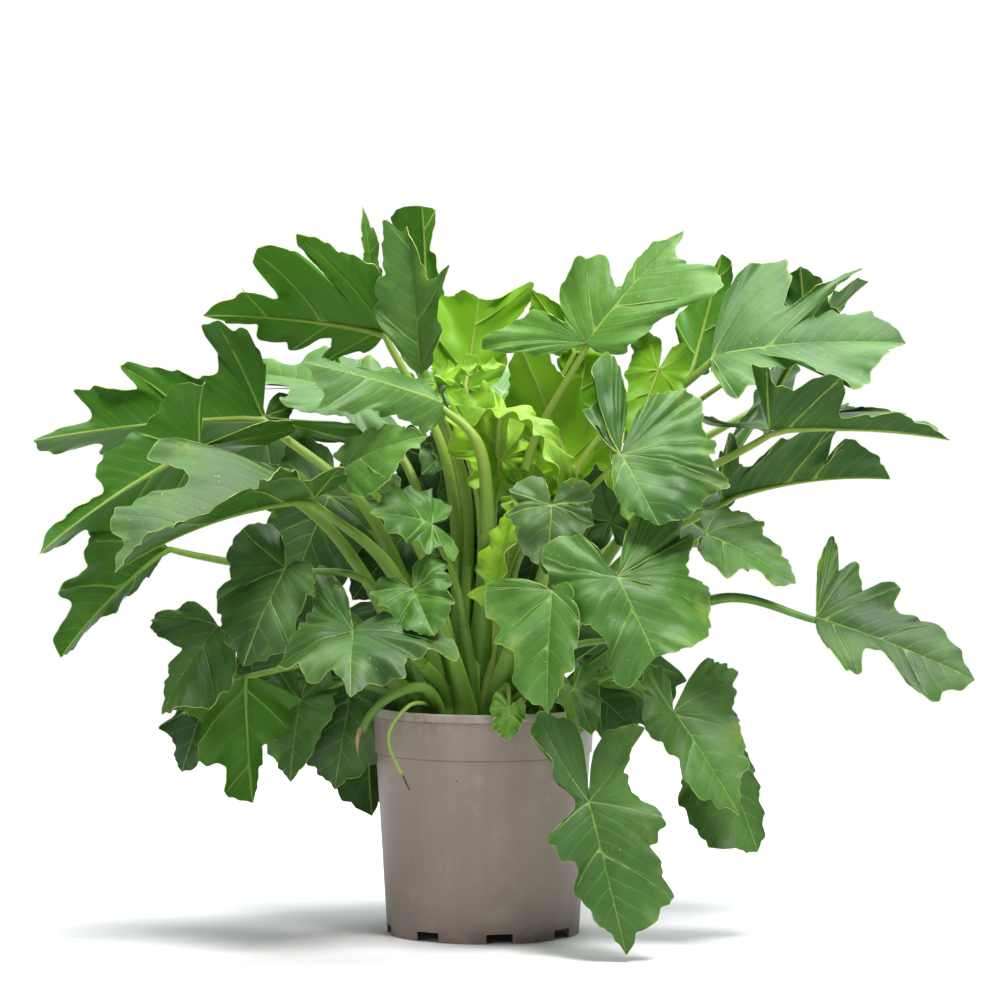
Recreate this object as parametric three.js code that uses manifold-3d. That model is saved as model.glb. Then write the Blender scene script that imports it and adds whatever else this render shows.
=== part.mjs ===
// A potted lacy tree philodendron: a plastic nursery pot on notched feet, its soil, and the arching
// leaf stalks that rise from the soil, each with one arrow-shaped, lobed and waved blade at its end.
// Millimetres, +Z up, the origin at the middle of the pot's underside, -Y towards the viewer.
import * as THREE from "three";
import { mergeVertices } from "three/addons/utils/BufferGeometryUtils.js";
import Module from "manifold-3d";

const wasm = await Module();
wasm.setup();

// Pot and soil
const pot = {
  height: 256,
  lipRadius: 126.4,
  lipFoot: 247,
  bandRadius: 124.6,
  bandTop: 246,
  bandFoot: 205,
  bandFootRadius: 122.8,
  wallRadius: 120.8,
  footRadius: 108.2,
  wall: 2.6,
  ledgeTop: 210,
  ledgeFoot: 206,
  floorUnder: 12,
  floorTop: 15,
  padRadius: 30,
  sides: 32,
};
const notch = { count: 8, first: -80, width: 30, height: 11, depth: 19, beyond: 6, below: 10 };
const soil = { top: 244, gap: 0.4, holeGap: 0.45, sides: 32 };

// Leaf stalks. They leave the soil upright, as far as their collar, arch outwards, and end in the
// blade's underside a little way along its midrib. Spots are the places of a stalk's rings on its
// curve, and taper is how far each has thinned from the foot to the top.
const stalk = {
  sunk: 14,
  collar: 20,
  bareCollar: 10,
  spacing: 2.2,
  outermost: 88,
  drawnIn: 0.75,
  turns: 300,
  sides: 5,
  levelRings: 2,
  footBase: 4,
  footShare: 0.025,
  topBase: 1.6,
  topShare: 0.011,
  middle: 0.55,
  arch: 0.1,
  tuck: 0.08,
  below: 1.5,
  under: 0.07,
  short: 0.2,
  point: 0.3,
  spots: [0, 1, 1.6, 2.3, 3],
  taper: [0, 0.05, 0.4, 0.75, 1],
};

// A blade is this thick, and this much room is kept around each leaf. Its halves curl down away from
// the midrib, and its basal lobes lift like ears.
const blade = { thickness: 1, room: 1.3, rows: [0, 0.5, 1], curl: 0.6, ears: 0.12, wave: 0.05 };
// The side veins leave the midrib at stations, counted from the stalk, and run on towards the margin
const vein = { slant: 0.9, stations: 20, last: 17, tip: 18 };
const uneven = { along: 0.07, across: 0.25, lift: 1.2, leastTurn: -0.002 };

// A leaf that would cross an earlier one is moved in depth by steps of this size, or its stalk is bowed
// sideways or upwards
const giveWay = { step: 7, most: 12, bow: 13, bows: 4, rise: 14, rises: 2, bowCost: 1.4, riseCost: 1.6 };

// Half outlines, from the notch round the basal lobe to just before the tip, as pairs of the distance
// along the midrib and the distance from it, both in shares of the blade's length
const outlines = {
  lacy: [
    [-0.42, 0.12], [-0.54, 0.27], [-0.15, 0.27], [-0.04, 0.58], [0.14, 0.28], [0.36, 0.6], [0.43, 0.5],
    [0.37, 0.22], [0.66, 0.42], [0.66, 0.16], [0.86, 0.14],
  ],
  oak: [
    [-0.46, 0.13], [-0.58, 0.28], [-0.4, 0.44], [-0.1, 0.33], [0.09, 0.5], [0.25, 0.46], [0.34, 0.3],
    [0.54, 0.41], [0.68, 0.22], [0.87, 0.15],
  ],
  heart: [
    [-0.36, 0.13], [-0.4, 0.35], [-0.16, 0.49], [0, 0.42], [0.2, 0.48], [0.37, 0.36], [0.6, 0.36],
  ],
  bud: [
    [-0.3, 0.15], [-0.28, 0.37], [-0.02, 0.34], [0.18, 0.42], [0.38, 0.29], [0.6, 0.31],
  ],
};

// The halves of the leaves that stand out, left and then right. A half without its own is made from
// the outline of the leaf's kind.
const ownOutlines = {
  front_broad: [
    [[-0.6, 0.35], [-0.7, 0.67], [-0.61, 0.86], [-0.23, 0.74], [0.11, 0.68], [0.37, 0.53], [0.66, 0.42],
      [0.86, 0.49], [1.19, 0.46]],
    [[-0.49, 0.2], [-0.63, 0.4], [-0.84, 0.83], [-0.48, 1.03], [-0.28, 0.9], [-0.28, 1.17], [-0.04, 0.99],
      [0.19, 0.83], [0.4, 1.02], [0.72, 0.91], [1.03, 0.61]],
  ],
  front_drop: [
    [[-0.08, 0.2], [-0.09, 0.42], [-0.02, 0.57], [0.16, 0.54], [0.33, 0.41], [0.45, 0.43], [0.54, 0.29],
      [0.75, 0.28]],
    [[-0.06, 0.1], [0.09, 0.2], [0.27, 0.26], [0.46, 0.24], [0.67, 0.18], [0.84, 0.1]],
  ],
  front_left: [
    [[-0.29, 0.04], [-0.87, 0.14], [-1.2, 0.39], [-0.64, 0.44], [-0.06, 0.6], [0.4, 0.73], [0.53, 0.55],
      [0.72, 0.42], [0.65, 0.21]],
    [[-0.32, 0.24], [-0.35, 0.6], [-0.18, 0.95], [0.14, 1.09], [0.33, 0.9], [0.51, 0.58], [0.8, 0.52],
      [0.77, 0.34]],
  ],
  left_dark: [
    [[-0.29, 0.2], [-0.43, 0.48], [-0.31, 0.71], [-0.03, 0.72], [0.23, 0.58], [0.47, 0.58], [0.76, 0.33]],
    [[-0.1, 0.06], [-0.12, 0.2], [0.11, 0.34], [0.39, 0.28], [0.68, 0.32], [0.9, 0.15]],
  ],
  front_low: [
    [[-0.26, 0.02], [-0.48, 0.08], [-0.62, 0.34], [-0.53, 0.39], [-0.3, 0.24], [-0.21, 0.24], [0, 0.08],
      [0.19, 0.32], [0.41, 0.17], [0.52, 0.21], [0.81, 0.09]],
    [[-0.28, 0.03], [-0.41, 0.12], [-0.39, 0.37], [-0.28, 0.29], [-0.03, 0.25], [0.22, 0.44], [0.34, 0.34],
      [0.54, 0.35], [0.71, 0.36], [0.84, 0.2]],
  ],
  right_broad: [
    [[-0.66, 0.22], [-1.24, 0.73], [-1.14, 0.9], [-0.76, 0.64], [-0.73, 0.83], [-0.39, 0.45], [-0.02, 0.13],
      [0.39, 0.29], [0.75, 0.19]],
    [[-0.48, 0.06], [-0.57, 0.39], [-0.37, 0.98], [0, 1.1], [0.27, 1.18], [0.5, 0.96], [0.88, 1.06],
      [0.9, 0.7], [1.06, 0.38]],
  ],
  right_hanging: [
    [[-0.28, 0.16], [-0.46, 0.44], [-0.35, 0.46], [-0.18, 0.34], [0.13, 0.3], [0.35, 0.21], [0.55, 0.26],
      [0.75, 0.21]],
    [[-0.25, 0.16], [-0.14, 0.54], [-0.03, 0.61], [0.16, 0.49], [0.42, 0.37], [0.65, 0.24], [0.83, 0.1]],
  ],
  far_right: [
    [[0.05, 0.1], [0.22, 0.24], [0.39, 0.29], [0.36, 0.14], [0.44, 0.09], [0.62, 0.2], [0.81, 0.27],
      [0.85, 0.18]],
    [[-0.12, 0.35], [-0.13, 0.58], [0.02, 0.37], [0.09, 0.42], [0.19, 0.26], [0.28, 0.36], [0.38, 0.36],
      [0.43, 0.22], [0.63, 0.23], [0.76, 0.16]],
  ],
  left_light: [
    [[0.01, 0.12], [0.12, 0.21], [0.2, 0.28], [0.3, 0.35], [0.47, 0.47], [0.56, 0.46], [0.5, 0.24],
      [0.73, 0.25], [0.88, 0.21], [0.92, 0.1]],
    [[-0.08, 0.11], [0.04, 0.38], [0.12, 0.28], [0.26, 0.43], [0.43, 0.59], [0.37, 0.26], [0.5, 0.35],
      [0.68, 0.23], [0.86, 0.32], [0.93, 0.13]],
  ],
  left_under: [
    null,
    [[-0.14, 0.22], [-0.15, 0.29], [0.01, 0.28], [0.14, 0.22], [0.24, 0.19], [0.51, 0.15], [0.5, 0.06],
      [0.71, 0.06], [0.85, 0.05]],
  ],
  left_high: [
    null,
    [[-0.01, 0.28], [0.08, 0.39], [0.19, 0.45], [0.24, 0.39], [0.18, 0.26], [0.18, 0.19], [0.31, 0.19],
      [0.45, 0.22], [0.57, 0.25], [0.53, 0.17], [0.77, 0.17], [0.72, 0.06]],
  ],
  top_left: [
    [[0.07, 0.13], [0.18, 0.19], [0.32, 0.26], [0.26, 0.09], [0.49, 0.18], [0.66, 0.12], [0.73, 0.05],
      [0.87, 0.03]],
    [[0, 0.22], [0.09, 0.41], [0.27, 0.5], [0.43, 0.59], [0.56, 0.59], [0.55, 0.52], [0.36, 0.29],
      [0.33, 0.24], [0.59, 0.46], [0.78, 0.47], [0.75, 0.36], [0.61, 0.17], [0.82, 0.18]],
  ],
  top_fold: [
    [[0.1, 0.16], [0.31, 0.25], [0.51, 0.22], [0.74, 0.39], [0.64, 0.16], [0.83, 0.08]],
    [[0.05, 0.06], [0.21, 0.16], [0.47, 0.29], [0.61, 0.27], [0.71, 0.2], [0.92, 0.18], [1.08, 0.13],
      [0.96, 0.04]],
  ],
  top_back: [
    [[0.2, 0.05], [0.45, 0.16], [0.81, 0.2], [0.98, 0.18]],
    [[0.19, 0.08], [0.43, 0.1], [0.66, 0.07], [0.79, 0.05], [0.98, 0.08]],
  ],
  top_right: [
    [[0, 0.13], [0.16, 0.27], [0.41, 0.3], [0.65, 0.45], [0.77, 0.49], [0.9, 0.36], [0.83, 0.2],
      [0.8, 0.1]],
    [[-0.2, 0.15], [-0.31, 0.32], [-0.42, 0.59], [-0.26, 0.56], [-0.01, 0.43], [0.03, 0.2], [0.11, 0.33],
      [0.21, 0.38], [0.44, 0.35], [0.52, 0.25], [0.4, 0.07], [0.62, 0.08], [0.83, 0.06]],
  ],
  right_fold: [
    [[-0.03, 0.22], [-0.04, 0.46], [0.03, 0.48], [0.07, 0.35], [0.18, 0.25], [0.28, 0.3], [0.41, 0.31],
      [0.42, 0.13], [0.58, 0.12], [0.74, 0.09]],
    null,
  ],
  right_side: [
    [[0.04, 0.15], [0.22, 0.5], [0.22, 0.18], [0.43, 0.34], [0.75, 0.36], [0.64, 0.13], [0.78, 0.25],
      [0.94, 0.2]],
    null,
  ],
  right_top: [
    [[0.03, 0.3], [0.16, 0.55], [0.26, 0.5], [0.4, 0.24], [0.6, 0.42], [0.75, 0.55], [0.82, 0.4]],
    [[0.03, 0.16], [0.11, 0.39], [0.24, 0.5], [0.4, 0.54], [0.41, 0.26], [0.57, 0.36], [0.78, 0.49],
      [0.62, 0.3], [0.53, 0.18], [0.85, 0.15]],
  ],
  low_left: [
    [[-0.08, 0.19], [-0.08, 0.41], [0.13, 0.66], [0.23, 0.63], [0.36, 0.37], [0.37, 0.16], [0.62, 0.13],
      [0.83, 0.06]],
    [[0.14, 0.33], [0.43, 0.56], [0.74, 0.51], [0.91, 0.25]],
  ],
  low_left_back: [
    [[0.05, 0.18], [0.2, 0.43], [0.45, 0.36], [0.51, 0.18], [0.75, 0.11]],
    [[-0.02, 0.07], [0.01, 0.19], [0.05, 0.37], [0.21, 0.59], [0.29, 0.37], [0.43, 0.36], [0.52, 0.42],
      [0.67, 0.34], [0.69, 0.2], [0.9, 0.2]],
  ],
  right_lower: [
    [[0.13, 0.26], [0.34, 0.39], [0.57, 0.4], [0.67, 0.24], [0.86, 0.15]],
    [[-0.19, 0.18], [-0.15, 0.39], [0.07, 0.41], [0.31, 0.41], [0.45, 0.23], [0.73, 0.2]],
  ],
  left_outer: [
    [[0.11, 0.08], [0.24, 0.13], [0.41, 0.16], [0.64, 0.11], [0.83, 0.1]],
    [[0.07, 0.18], [0.19, 0.36], [0.41, 0.46], [0.51, 0.4], [0.79, 0.43], [0.77, 0.24], [0.94, 0.17]],
  ],
  low_right_back: [
    [[-0.05, 0.14], [0.2, 0.46], [0.56, 0.53], [0.78, 0.5], [0.94, 0.24]],
    [[-0.01, 0.1], [0.08, 0.21], [0.35, 0.24], [0.67, 0.16], [0.9, 0.09]],
  ],
  pale_left: [
    [[-0.1, 0.11], [0.11, 0.41], [0.34, 0.52], [0.66, 0.51], [0.78, 0.35]],
    [[-0.18, 0.24], [-0.02, 0.33], [0.33, 0.32], [0.51, 0.23], [0.78, 0.14]],
  ],
  arch_left: [
    [[-0.11, 0.34], [-0.07, 0.52], [0.23, 0.35], [0.57, 0.12], [0.78, 0.14]],
    [[-0.04, 0.08], [0.1, 0.24], [0.2, 0.18], [0.62, 0.29], [0.84, 0.31], [0.86, 0.15]],
  ],
  top_bright: [
    [[-0.11, 0.14], [-0.02, 0.31], [0.3, 0.43], [0.48, 0.36], [0.67, 0.53], [0.85, 0.52], [0.99, 0.32],
      [1.05, 0.13]],
    [[-0.05, 0.19], [0.23, 0.38], [0.47, 0.37], [0.58, 0.3], [0.95, 0.52], [1.24, 0.56], [1.15, 0.38],
      [1.01, 0.17]],
  ],
  right_pale: [
    [[0.04, 0.14], [0.21, 0.15], [0.39, 0.23], [0.55, 0.15], [0.64, 0.06], [0.85, 0.05]],
    [[0.04, 0.11], [0.22, 0.15], [0.41, 0.18], [0.58, 0.2], [0.77, 0.13], [0.95, 0.12]],
  ],
};

// The leaves, in the order in which they take their places. Base is where the stalk meets the blade,
// tip is the blade's point, and face is the way its upper side looks. Wide widens its left and right
// half, bend arches the midrib and fold lifts the halves, in degrees. Lean slants the basal lobes, via
// is a point that the stalk passes, stout thickens the stalk's foot into a sheath, and a leaf with a
// tone is young and bright.
const leaves = [
  { name: "front_broad", base: [145, -235, 415], tip: [185, -260, 330],
    face: [0.1, -1, 0.3], bend: 20, fold: -4, lean: 0.35, stout: 1.3 },
  { name: "front_drop", base: [75, -225, 400], tip: [70, -255, 270],
    face: [-0.25, -1, 0.3], bend: 24, fold: 14, stout: 1.45 },
  { name: "front_left", base: [-140, -205, 355], tip: [-140, -290, 290],
    face: [-0.1, -0.75, 0.65], bend: 30, fold: 4, stout: 1.55 },
  { name: "left_dark", base: [-215, -150, 420], tip: [-260, -185, 315],
    face: [-0.35, -0.9, 0.3], bend: 22, fold: -6 },
  { name: "front_low", base: [115, -215, 170], tip: [155, -250, 8],
    face: [0.05, -0.95, 0.25], bend: 14, fold: 10, via: [85, -160, 292], lean: 0.25 },
  { name: "right_broad", base: [150, -190, 545], tip: [190, -225, 470],
    face: [0.1, -0.95, 0.3], bend: 16, fold: 8, lean: 0.95 },
  { name: "right_hanging", base: [210, -120, 260], tip: [280, -165, 150],
    face: [0.3, -0.9, 0.3], bend: 18, fold: 8, lean: 1 },
  { name: "far_right", base: [365, -150, 365], tip: [535, -190, 300],
    face: [0.15, -0.85, 0.5], bend: 18, fold: 10, via: [262, -125, 385] },
  { name: "left_light", base: [-185, -130, 495], tip: [-395, -235, 420],
    face: [-0.1, -0.26, 0.96], bend: 30, fold: 40, stout: 1.25 },
  { name: "left_under", kind: "lacy", base: [-315, -60, 550], tip: [-485, -150, 435],
    face: [-0.2, 0.85, 0.5], bend: 26, fold: 30 },
  { name: "left_high", kind: "lacy", base: [-250, -20, 580], tip: [-505, -70, 555],
    face: [-0.05, 0.85, 0.5], wide: [1, 1.05], bend: 18, fold: 32 },
  { name: "top_left", base: [-110, 30, 675], tip: [-315, 0, 695],
    face: [0.05, 0.8, 0.6], bend: 22, fold: 4 },
  { name: "top_fold", base: [-70, -20, 630], tip: [-85, -35, 795],
    face: [-0.5, -0.8, 0.2], bend: -10, fold: 24 },
  { name: "top_back", base: [-65, 60, 630], tip: [-70, 75, 820],
    face: [0.3, 0.85, 0.3], bend: 16, fold: 6 },
  { name: "top_bright", base: [-20, 25, 615], tip: [-5, 40, 715],
    face: [0.1, 0.95, 0.3], bend: 14, fold: 6, tone: 1 },
  { name: "top_right", base: [115, -60, 665], tip: [225, -20, 790],
    face: [0.1, -0.7, 0.7], bend: 24, fold: 10 },
  { name: "right_pale", base: [235, 20, 630], tip: [270, 45, 765],
    face: [0.25, 0.9, 0.35], bend: 18, fold: 6 },
  { name: "right_top", base: [255, -40, 650], tip: [470, -60, 665],
    face: [0, -0.6, 0.8], bend: 20, fold: 20 },
  { name: "right_fold", kind: "lacy", base: [315, -90, 570], tip: [510, -125, 560],
    face: [0, 0.35, 0.94], wide: [1.15, 1.1], bend: 16, fold: 40 },
  { name: "right_side", kind: "lacy", base: [265, -60, 490], tip: [450, -110, 515],
    face: [0, 0.3, 0.95], wide: [1.1, 1.1], bend: 24, fold: 34 },
  { name: "right_back", kind: "lacy", base: [335, 150, 605], tip: [450, 210, 735],
    face: [-0.2, 0.4, 0.9], bend: 24, fold: 10 },
  { name: "right_lower", base: [245, -120, 455], tip: [340, -190, 405],
    face: [0.35, -0.75, 0.55], bend: 20, fold: 14 },
  { name: "arch_left", base: [-45, -110, 600], tip: [-195, -165, 645],
    face: [-0.2, -0.7, 0.65], bend: 12, fold: -24, via: [-4, -125, 552], stout: 1.35 },
  { name: "pale_left", base: [-150, -120, 530], tip: [-60, -170, 565],
    face: [-0.1, -0.7, 0.7], bend: 24, fold: 8, stout: 1.4 },
  { name: "centre_small", kind: "heart", base: [-56, -150, 468], tip: [-122, -192, 482],
    face: [0.05, -0.8, 0.6], wide: [1.35, 1.1], bend: 24, fold: 10 },
  { name: "centre_ears", kind: "heart", base: [-76, -168, 398], tip: [-52, -208, 350],
    face: [-0.1, -0.9, 0.4], wide: [1.3, 1.3], bend: 20, fold: 16, stout: 1.6 },
  { name: "low_left", base: [-295, -60, 350], tip: [-355, -105, 255],
    face: [-0.45, -0.8, 0.4], bend: 24, fold: 12 },
  { name: "low_left_back", base: [-265, -95, 295], tip: [-255, -110, 155],
    face: [-0.35, 0.9, 0.2], bend: 16, fold: 10, via: [-150, -55, 310] },
  { name: "low_left_inner", kind: "heart", base: [-205, -60, 265], tip: [-215, -85, 175],
    face: [-0.3, -0.9, 0.2], wide: [0.9, 0.9], bend: 14, fold: 8, via: [-125, -40, 292] },
  { name: "low_left_pot", kind: "heart", base: [-132, 70, 250], tip: [-128, 78, 122],
    face: [-0.4, 0.9, 0.1], wide: [0.9, 1.35], bend: 10, fold: 10, via: [-106, 56, 286] },
  { name: "left_outer", base: [-355, 20, 435], tip: [-470, -45, 315],
    face: [-0.5, 0.65, 0.55], bend: 22, fold: 10 },
  { name: "low_right_back", base: [260, -60, 215], tip: [305, -85, 100],
    face: [0.45, -0.85, 0.2], bend: 12, fold: 8, via: [155, -42, 282] },
  { name: "rim_crumpled", kind: "bud", base: [30, -130, 265], tip: [25, -150, 230],
    face: [0.1, -0.9, 0.4], wide: [1.3, 1.3], bend: 16, fold: 10, tone: 1, via: [27, -104, 288] },
  { name: "under_right", kind: "heart", base: [100, -120, 285], tip: [120, -150, 235],
    face: [0.3, -0.9, 0.2], bend: 16, fold: 8 },
  { name: "young_tall", kind: "oak", base: [95, 10, 530], tip: [40, 25, 665],
    face: [0.2, 0.9, 0.3], bend: 18, fold: 4, tone: 1 },
  { name: "young_curl", kind: "bud", base: [20, -25, 535], tip: [-40, -60, 610],
    face: [0.1, -0.8, 0.55], wide: [1.1, 1.4], bend: 40, fold: 12, tone: 1 },
  { name: "young_side", kind: "bud", base: [45, -80, 500], tip: [110, -95, 505],
    face: [0, -0.75, 0.65], bend: 30, fold: 8, tone: 1 },
  { name: "young_furled", kind: "bud", base: [15, -70, 400], tip: [35, -80, 485],
    face: [-0.5, -0.8, 0.1], wide: [0.7, 0.7], bend: 12, fold: 40, tone: 1 },
  { name: "dark_middle", kind: "heart", base: [75, -120, 490], tip: [70, -140, 415],
    face: [0.05, -0.95, 0.25], wide: [1.2, 1.2], bend: 16, fold: 4 },
  { name: "dark_fold", kind: "heart", base: [140, -140, 470], tip: [125, -150, 535],
    face: [-0.6, -0.75, 0.2], wide: [0.9, 0.9], bend: 12, fold: 26 },
  { name: "bright_lobe", kind: "heart", base: [195, -60, 635], tip: [165, -95, 555],
    face: [0.1, 0.85, 0.4], wide: [0.8, 0.8], bend: 16, fold: 6, tone: 1 },
  { name: "dark_inner", kind: "heart", base: [-20, 40, 560], tip: [-70, 20, 515],
    face: [-0.2, -0.9, 0.3], wide: [0.9, 0.9], bend: 18, fold: 12 },
  { name: "left_inner", kind: "heart", base: [-252, 130, 580], tip: [-252, 118, 522],
    face: [0, -0.95, 0.3], wide: [1.1, 1.1], bend: 12, fold: 6 },
  { name: "young_back", kind: "oak", base: [-5, 60, 600], tip: [-60, 90, 635],
    face: [0, 0.5, 0.8], bend: 24, fold: 10, tone: 1 },
  { name: "back_broad", kind: "oak", base: [60, 190, 480], tip: [95, 270, 380],
    face: [0.1, 0.9, 0.4], wide: [1.1, 1.1], bend: 24, fold: 8 },
  { name: "back_left", kind: "oak", base: [-125, 180, 500], tip: [-200, 290, 430],
    face: [-0.3, 0.8, 0.5], wide: [1, 1.1], bend: 22, fold: 12 },
  { name: "back_right", kind: "oak", base: [215, 190, 470], tip: [315, 280, 390],
    face: [0.4, 0.7, 0.5], wide: [1.1, 1], bend: 24, fold: 10 },
  { name: "back_low", kind: "heart", base: [-40, 205, 330], tip: [-60, 265, 210],
    face: [0, 0.95, 0.3], wide: [1.1, 1], bend: 20, fold: 8 },
  { name: "back_low_right", kind: "heart", base: [150, 190, 320], tip: [205, 245, 205],
    face: [0.4, 0.9, 0.2], bend: 18, fold: 10 },
  { name: "back_low_left", kind: "heart", base: [-190, 140, 330], tip: [-265, 190, 225],
    face: [-0.5, 0.8, 0.3], wide: [1, 1.1], bend: 20, fold: 8 },
  { name: "back_high", kind: "lacy", base: [15, 150, 590], tip: [45, 310, 620],
    face: [0, -0.4, 0.9], bend: 26, fold: 14 },
  { name: "back_high_left", kind: "oak", base: [-150, 150, 600], tip: [-290, 250, 625],
    face: [-0.3, -0.2, 0.9], bend: 26, fold: 14 },
  { name: "back_far", kind: "lacy", base: [70, 265, 545], tip: [110, 420, 480],
    face: [0, 0.4, 0.9], bend: 24, fold: 12 },
  { name: "back_hanging", kind: "oak", base: [35, 205, 200], tip: [55, 245, 60],
    face: [0, 0.95, 0.25], wide: [0.9, 0.9], bend: 16, fold: 10, via: [25, 150, 295] },
  { name: "dark_left", kind: "heart", base: [-175, 90, 490], tip: [-222, 70, 372],
    face: [-0.1, -0.95, 0.35], wide: [1.15, 1.25], bend: 20, fold: 8 },
  { name: "dark_centre", kind: "heart", base: [-60, 108, 530], tip: [-72, 126, 445],
    face: [0, 0.95, 0.2], bend: 18, fold: 10 },
];

// Stems without a leaf that hang over the rim
const bareStems = [
  {
    name: "cut_stem",
    radii: [7.5, 3.8],
    path: [
      [-66, -92, 284],
      [-104, -92, 273],
      [-127, -92, 250],
      [-135, -92, 228],
    ],
  },
  {
    name: "thin_runner",
    radii: [2.6, 1.6],
    path: [
      [-80, -108, 266],
      [-104, -108, 232],
      [-81, -114, 172],
    ],
  },
];

const finishes = {
  pot: { color: 0x857a71, roughness: 0.5 },
  soil: { color: 0x2f2a22, roughness: 0.95 },
  grown: { color: 0x4f7d3c, roughness: 0.4 },
  young: { color: 0x86b536, roughness: 0.4 },
  stem: { color: 0x6f8f3a, roughness: 0.45 },
};
const up = new THREE.Vector3(0, 0, 1);

const vector = (list) => new THREE.Vector3(...list);
const radians = THREE.MathUtils.degToRad;

function solidFrom(geometry) {
  const plain = geometry.index ? geometry.toNonIndexed() : geometry.clone();
  plain.deleteAttribute("normal");
  plain.deleteAttribute("uv");
  const merged = mergeVertices(plain, 1e-4);
  return new wasm.Manifold(
    new wasm.Mesh({
      numProp: 3,
      vertProperties: merged.attributes.position.array,
      triVerts: new Uint32Array(merged.index.array),
    }),
  );
}

function geometryFrom(points, faces) {
  const geometry = new THREE.BufferGeometry().setFromPoints(points);
  geometry.setIndex(faces.flat());
  return geometry;
}

function meshFrom(name, solid, finish) {
  const mesh = solid.getMesh();
  const geometry = new THREE.BufferGeometry();
  geometry.setAttribute("position", new THREE.BufferAttribute(mesh.vertProperties, 3));
  geometry.setIndex(new THREE.BufferAttribute(mesh.triVerts, 1));
  geometry.computeVertexNormals();
  const material = new THREE.MeshStandardMaterial({ ...finish, metalness: 0, flatShading: true });
  const made = new THREE.Mesh(geometry, material);
  made.name = name;
  return made;
}

// A random source that gives each leaf its own unevenness, and the same one every time
function randomFor(place) {
  let state = Math.imul(place + 1, 2654435761) >>> 0;
  return () => {
    state = (state * 1664525 + 1013904223) >>> 0;
    return state / 4294967296;
  };
}

// Half an outline, made a little uneven where it isn't the leaf's own. Where that would fold it over
// itself, it is made less uneven.
function halfOutline(leaf, half, random) {
  const own = ownOutlines[leaf.name]?.[half];
  const rows = own ?? outlines[leaf.kind];
  const wide = own || !leaf.wide ? 1 : leaf.wide[half];
  const draws = rows.map(() => [random() - 0.5, random() - 0.5, random() - 0.5]);
  for (const share of own ? [0] : [1, 0.6, 0.3, 0]) {
    const columns = [{ u: 0, v: 0, foot: 0, lift: 0 }];
    rows.forEach(([u, v], i) => {
      const along = u + uneven.along * share * draws[i][0];
      const across = v * wide * (1 + uneven.across * share * draws[i][1]);
      const station = Math.min(vein.last, Math.floor((along - vein.slant * across) * vein.stations));
      const foot = Math.max(columns[i].foot, station / vein.stations);
      columns.push({ u: along, v: across, foot, lift: uneven.lift * draws[i][2] });
    });
    columns.push({ u: 1, v: 0, foot: vein.tip / vein.stations, lift: 0 });
    const turns = columns.slice(2).map((next, i) => turnBetween(columns[i + 1], next));
    if (share === 0 || Math.max(...turns) < uneven.leastTurn) return columns;
  }
}

// How far an outline turns on round the foot of its vein, less than nothing where it goes on
function turnBetween(here, next) {
  return (here.u - here.foot) * next.v - (next.u - here.foot) * here.v;
}

// The directions of a blade: along its midrib, to its right, and out of its upper side
function bladeFrame(leaf, shift) {
  const base = vector(leaf.base);
  base.y += shift;
  const chord = vector(leaf.tip).sub(vector(leaf.base));
  const half = radians(leaf.bend) / 2;
  const along = chord.clone().normalize();
  const side = vector(leaf.face).cross(along).normalize();
  const face = along.clone().cross(side);
  const start = along.clone().multiplyScalar(Math.cos(half)).addScaledVector(face, Math.sin(half));
  const top = face.clone().multiplyScalar(Math.cos(half)).addScaledVector(along, -Math.sin(half));
  return {
    base,
    along: start,
    side,
    face: top,
    length: (chord.length() * half) / Math.sin(half),
    bend: 2 * half,
    fold: radians(leaf.fold),
    lean: leaf.lean ?? 0,
  };
}

// The point of a blade that lies at a distance along its midrib and to its right, in shares of its
// length, lifted by its margin's wave
function pointOn(frame, u, v, lift) {
  const middle = frame.base.clone();
  const face = new THREE.Vector3();
  if (u >= 0) {
    const angle = frame.bend * u;
    middle.addScaledVector(frame.along, (Math.sin(angle) / frame.bend) * frame.length);
    middle.addScaledVector(frame.face, (-(1 - Math.cos(angle)) / frame.bend) * frame.length);
    face.copy(frame.face).multiplyScalar(Math.cos(angle));
    face.addScaledVector(frame.along, Math.sin(angle));
  } else {
    middle.addScaledVector(frame.along, u * frame.length);
    middle.addScaledVector(frame.face, blade.ears * u * u * frame.length);
    face.copy(frame.face).addScaledVector(frame.along, -2 * blade.ears * u).normalize();
  }
  const across = v - frame.lean * Math.min(u, 0);
  const end = frame.fold - blade.curl * Math.abs(across);
  const out = (Math.sin(frame.fold) - Math.sin(end)) / blade.curl;
  const rise = (Math.cos(end) - Math.cos(frame.fold)) / blade.curl;
  middle.addScaledVector(frame.side, Math.sign(across) * out * frame.length);
  return middle.addScaledVector(face, (rise + blade.wave * lift) * frame.length);
}

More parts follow.
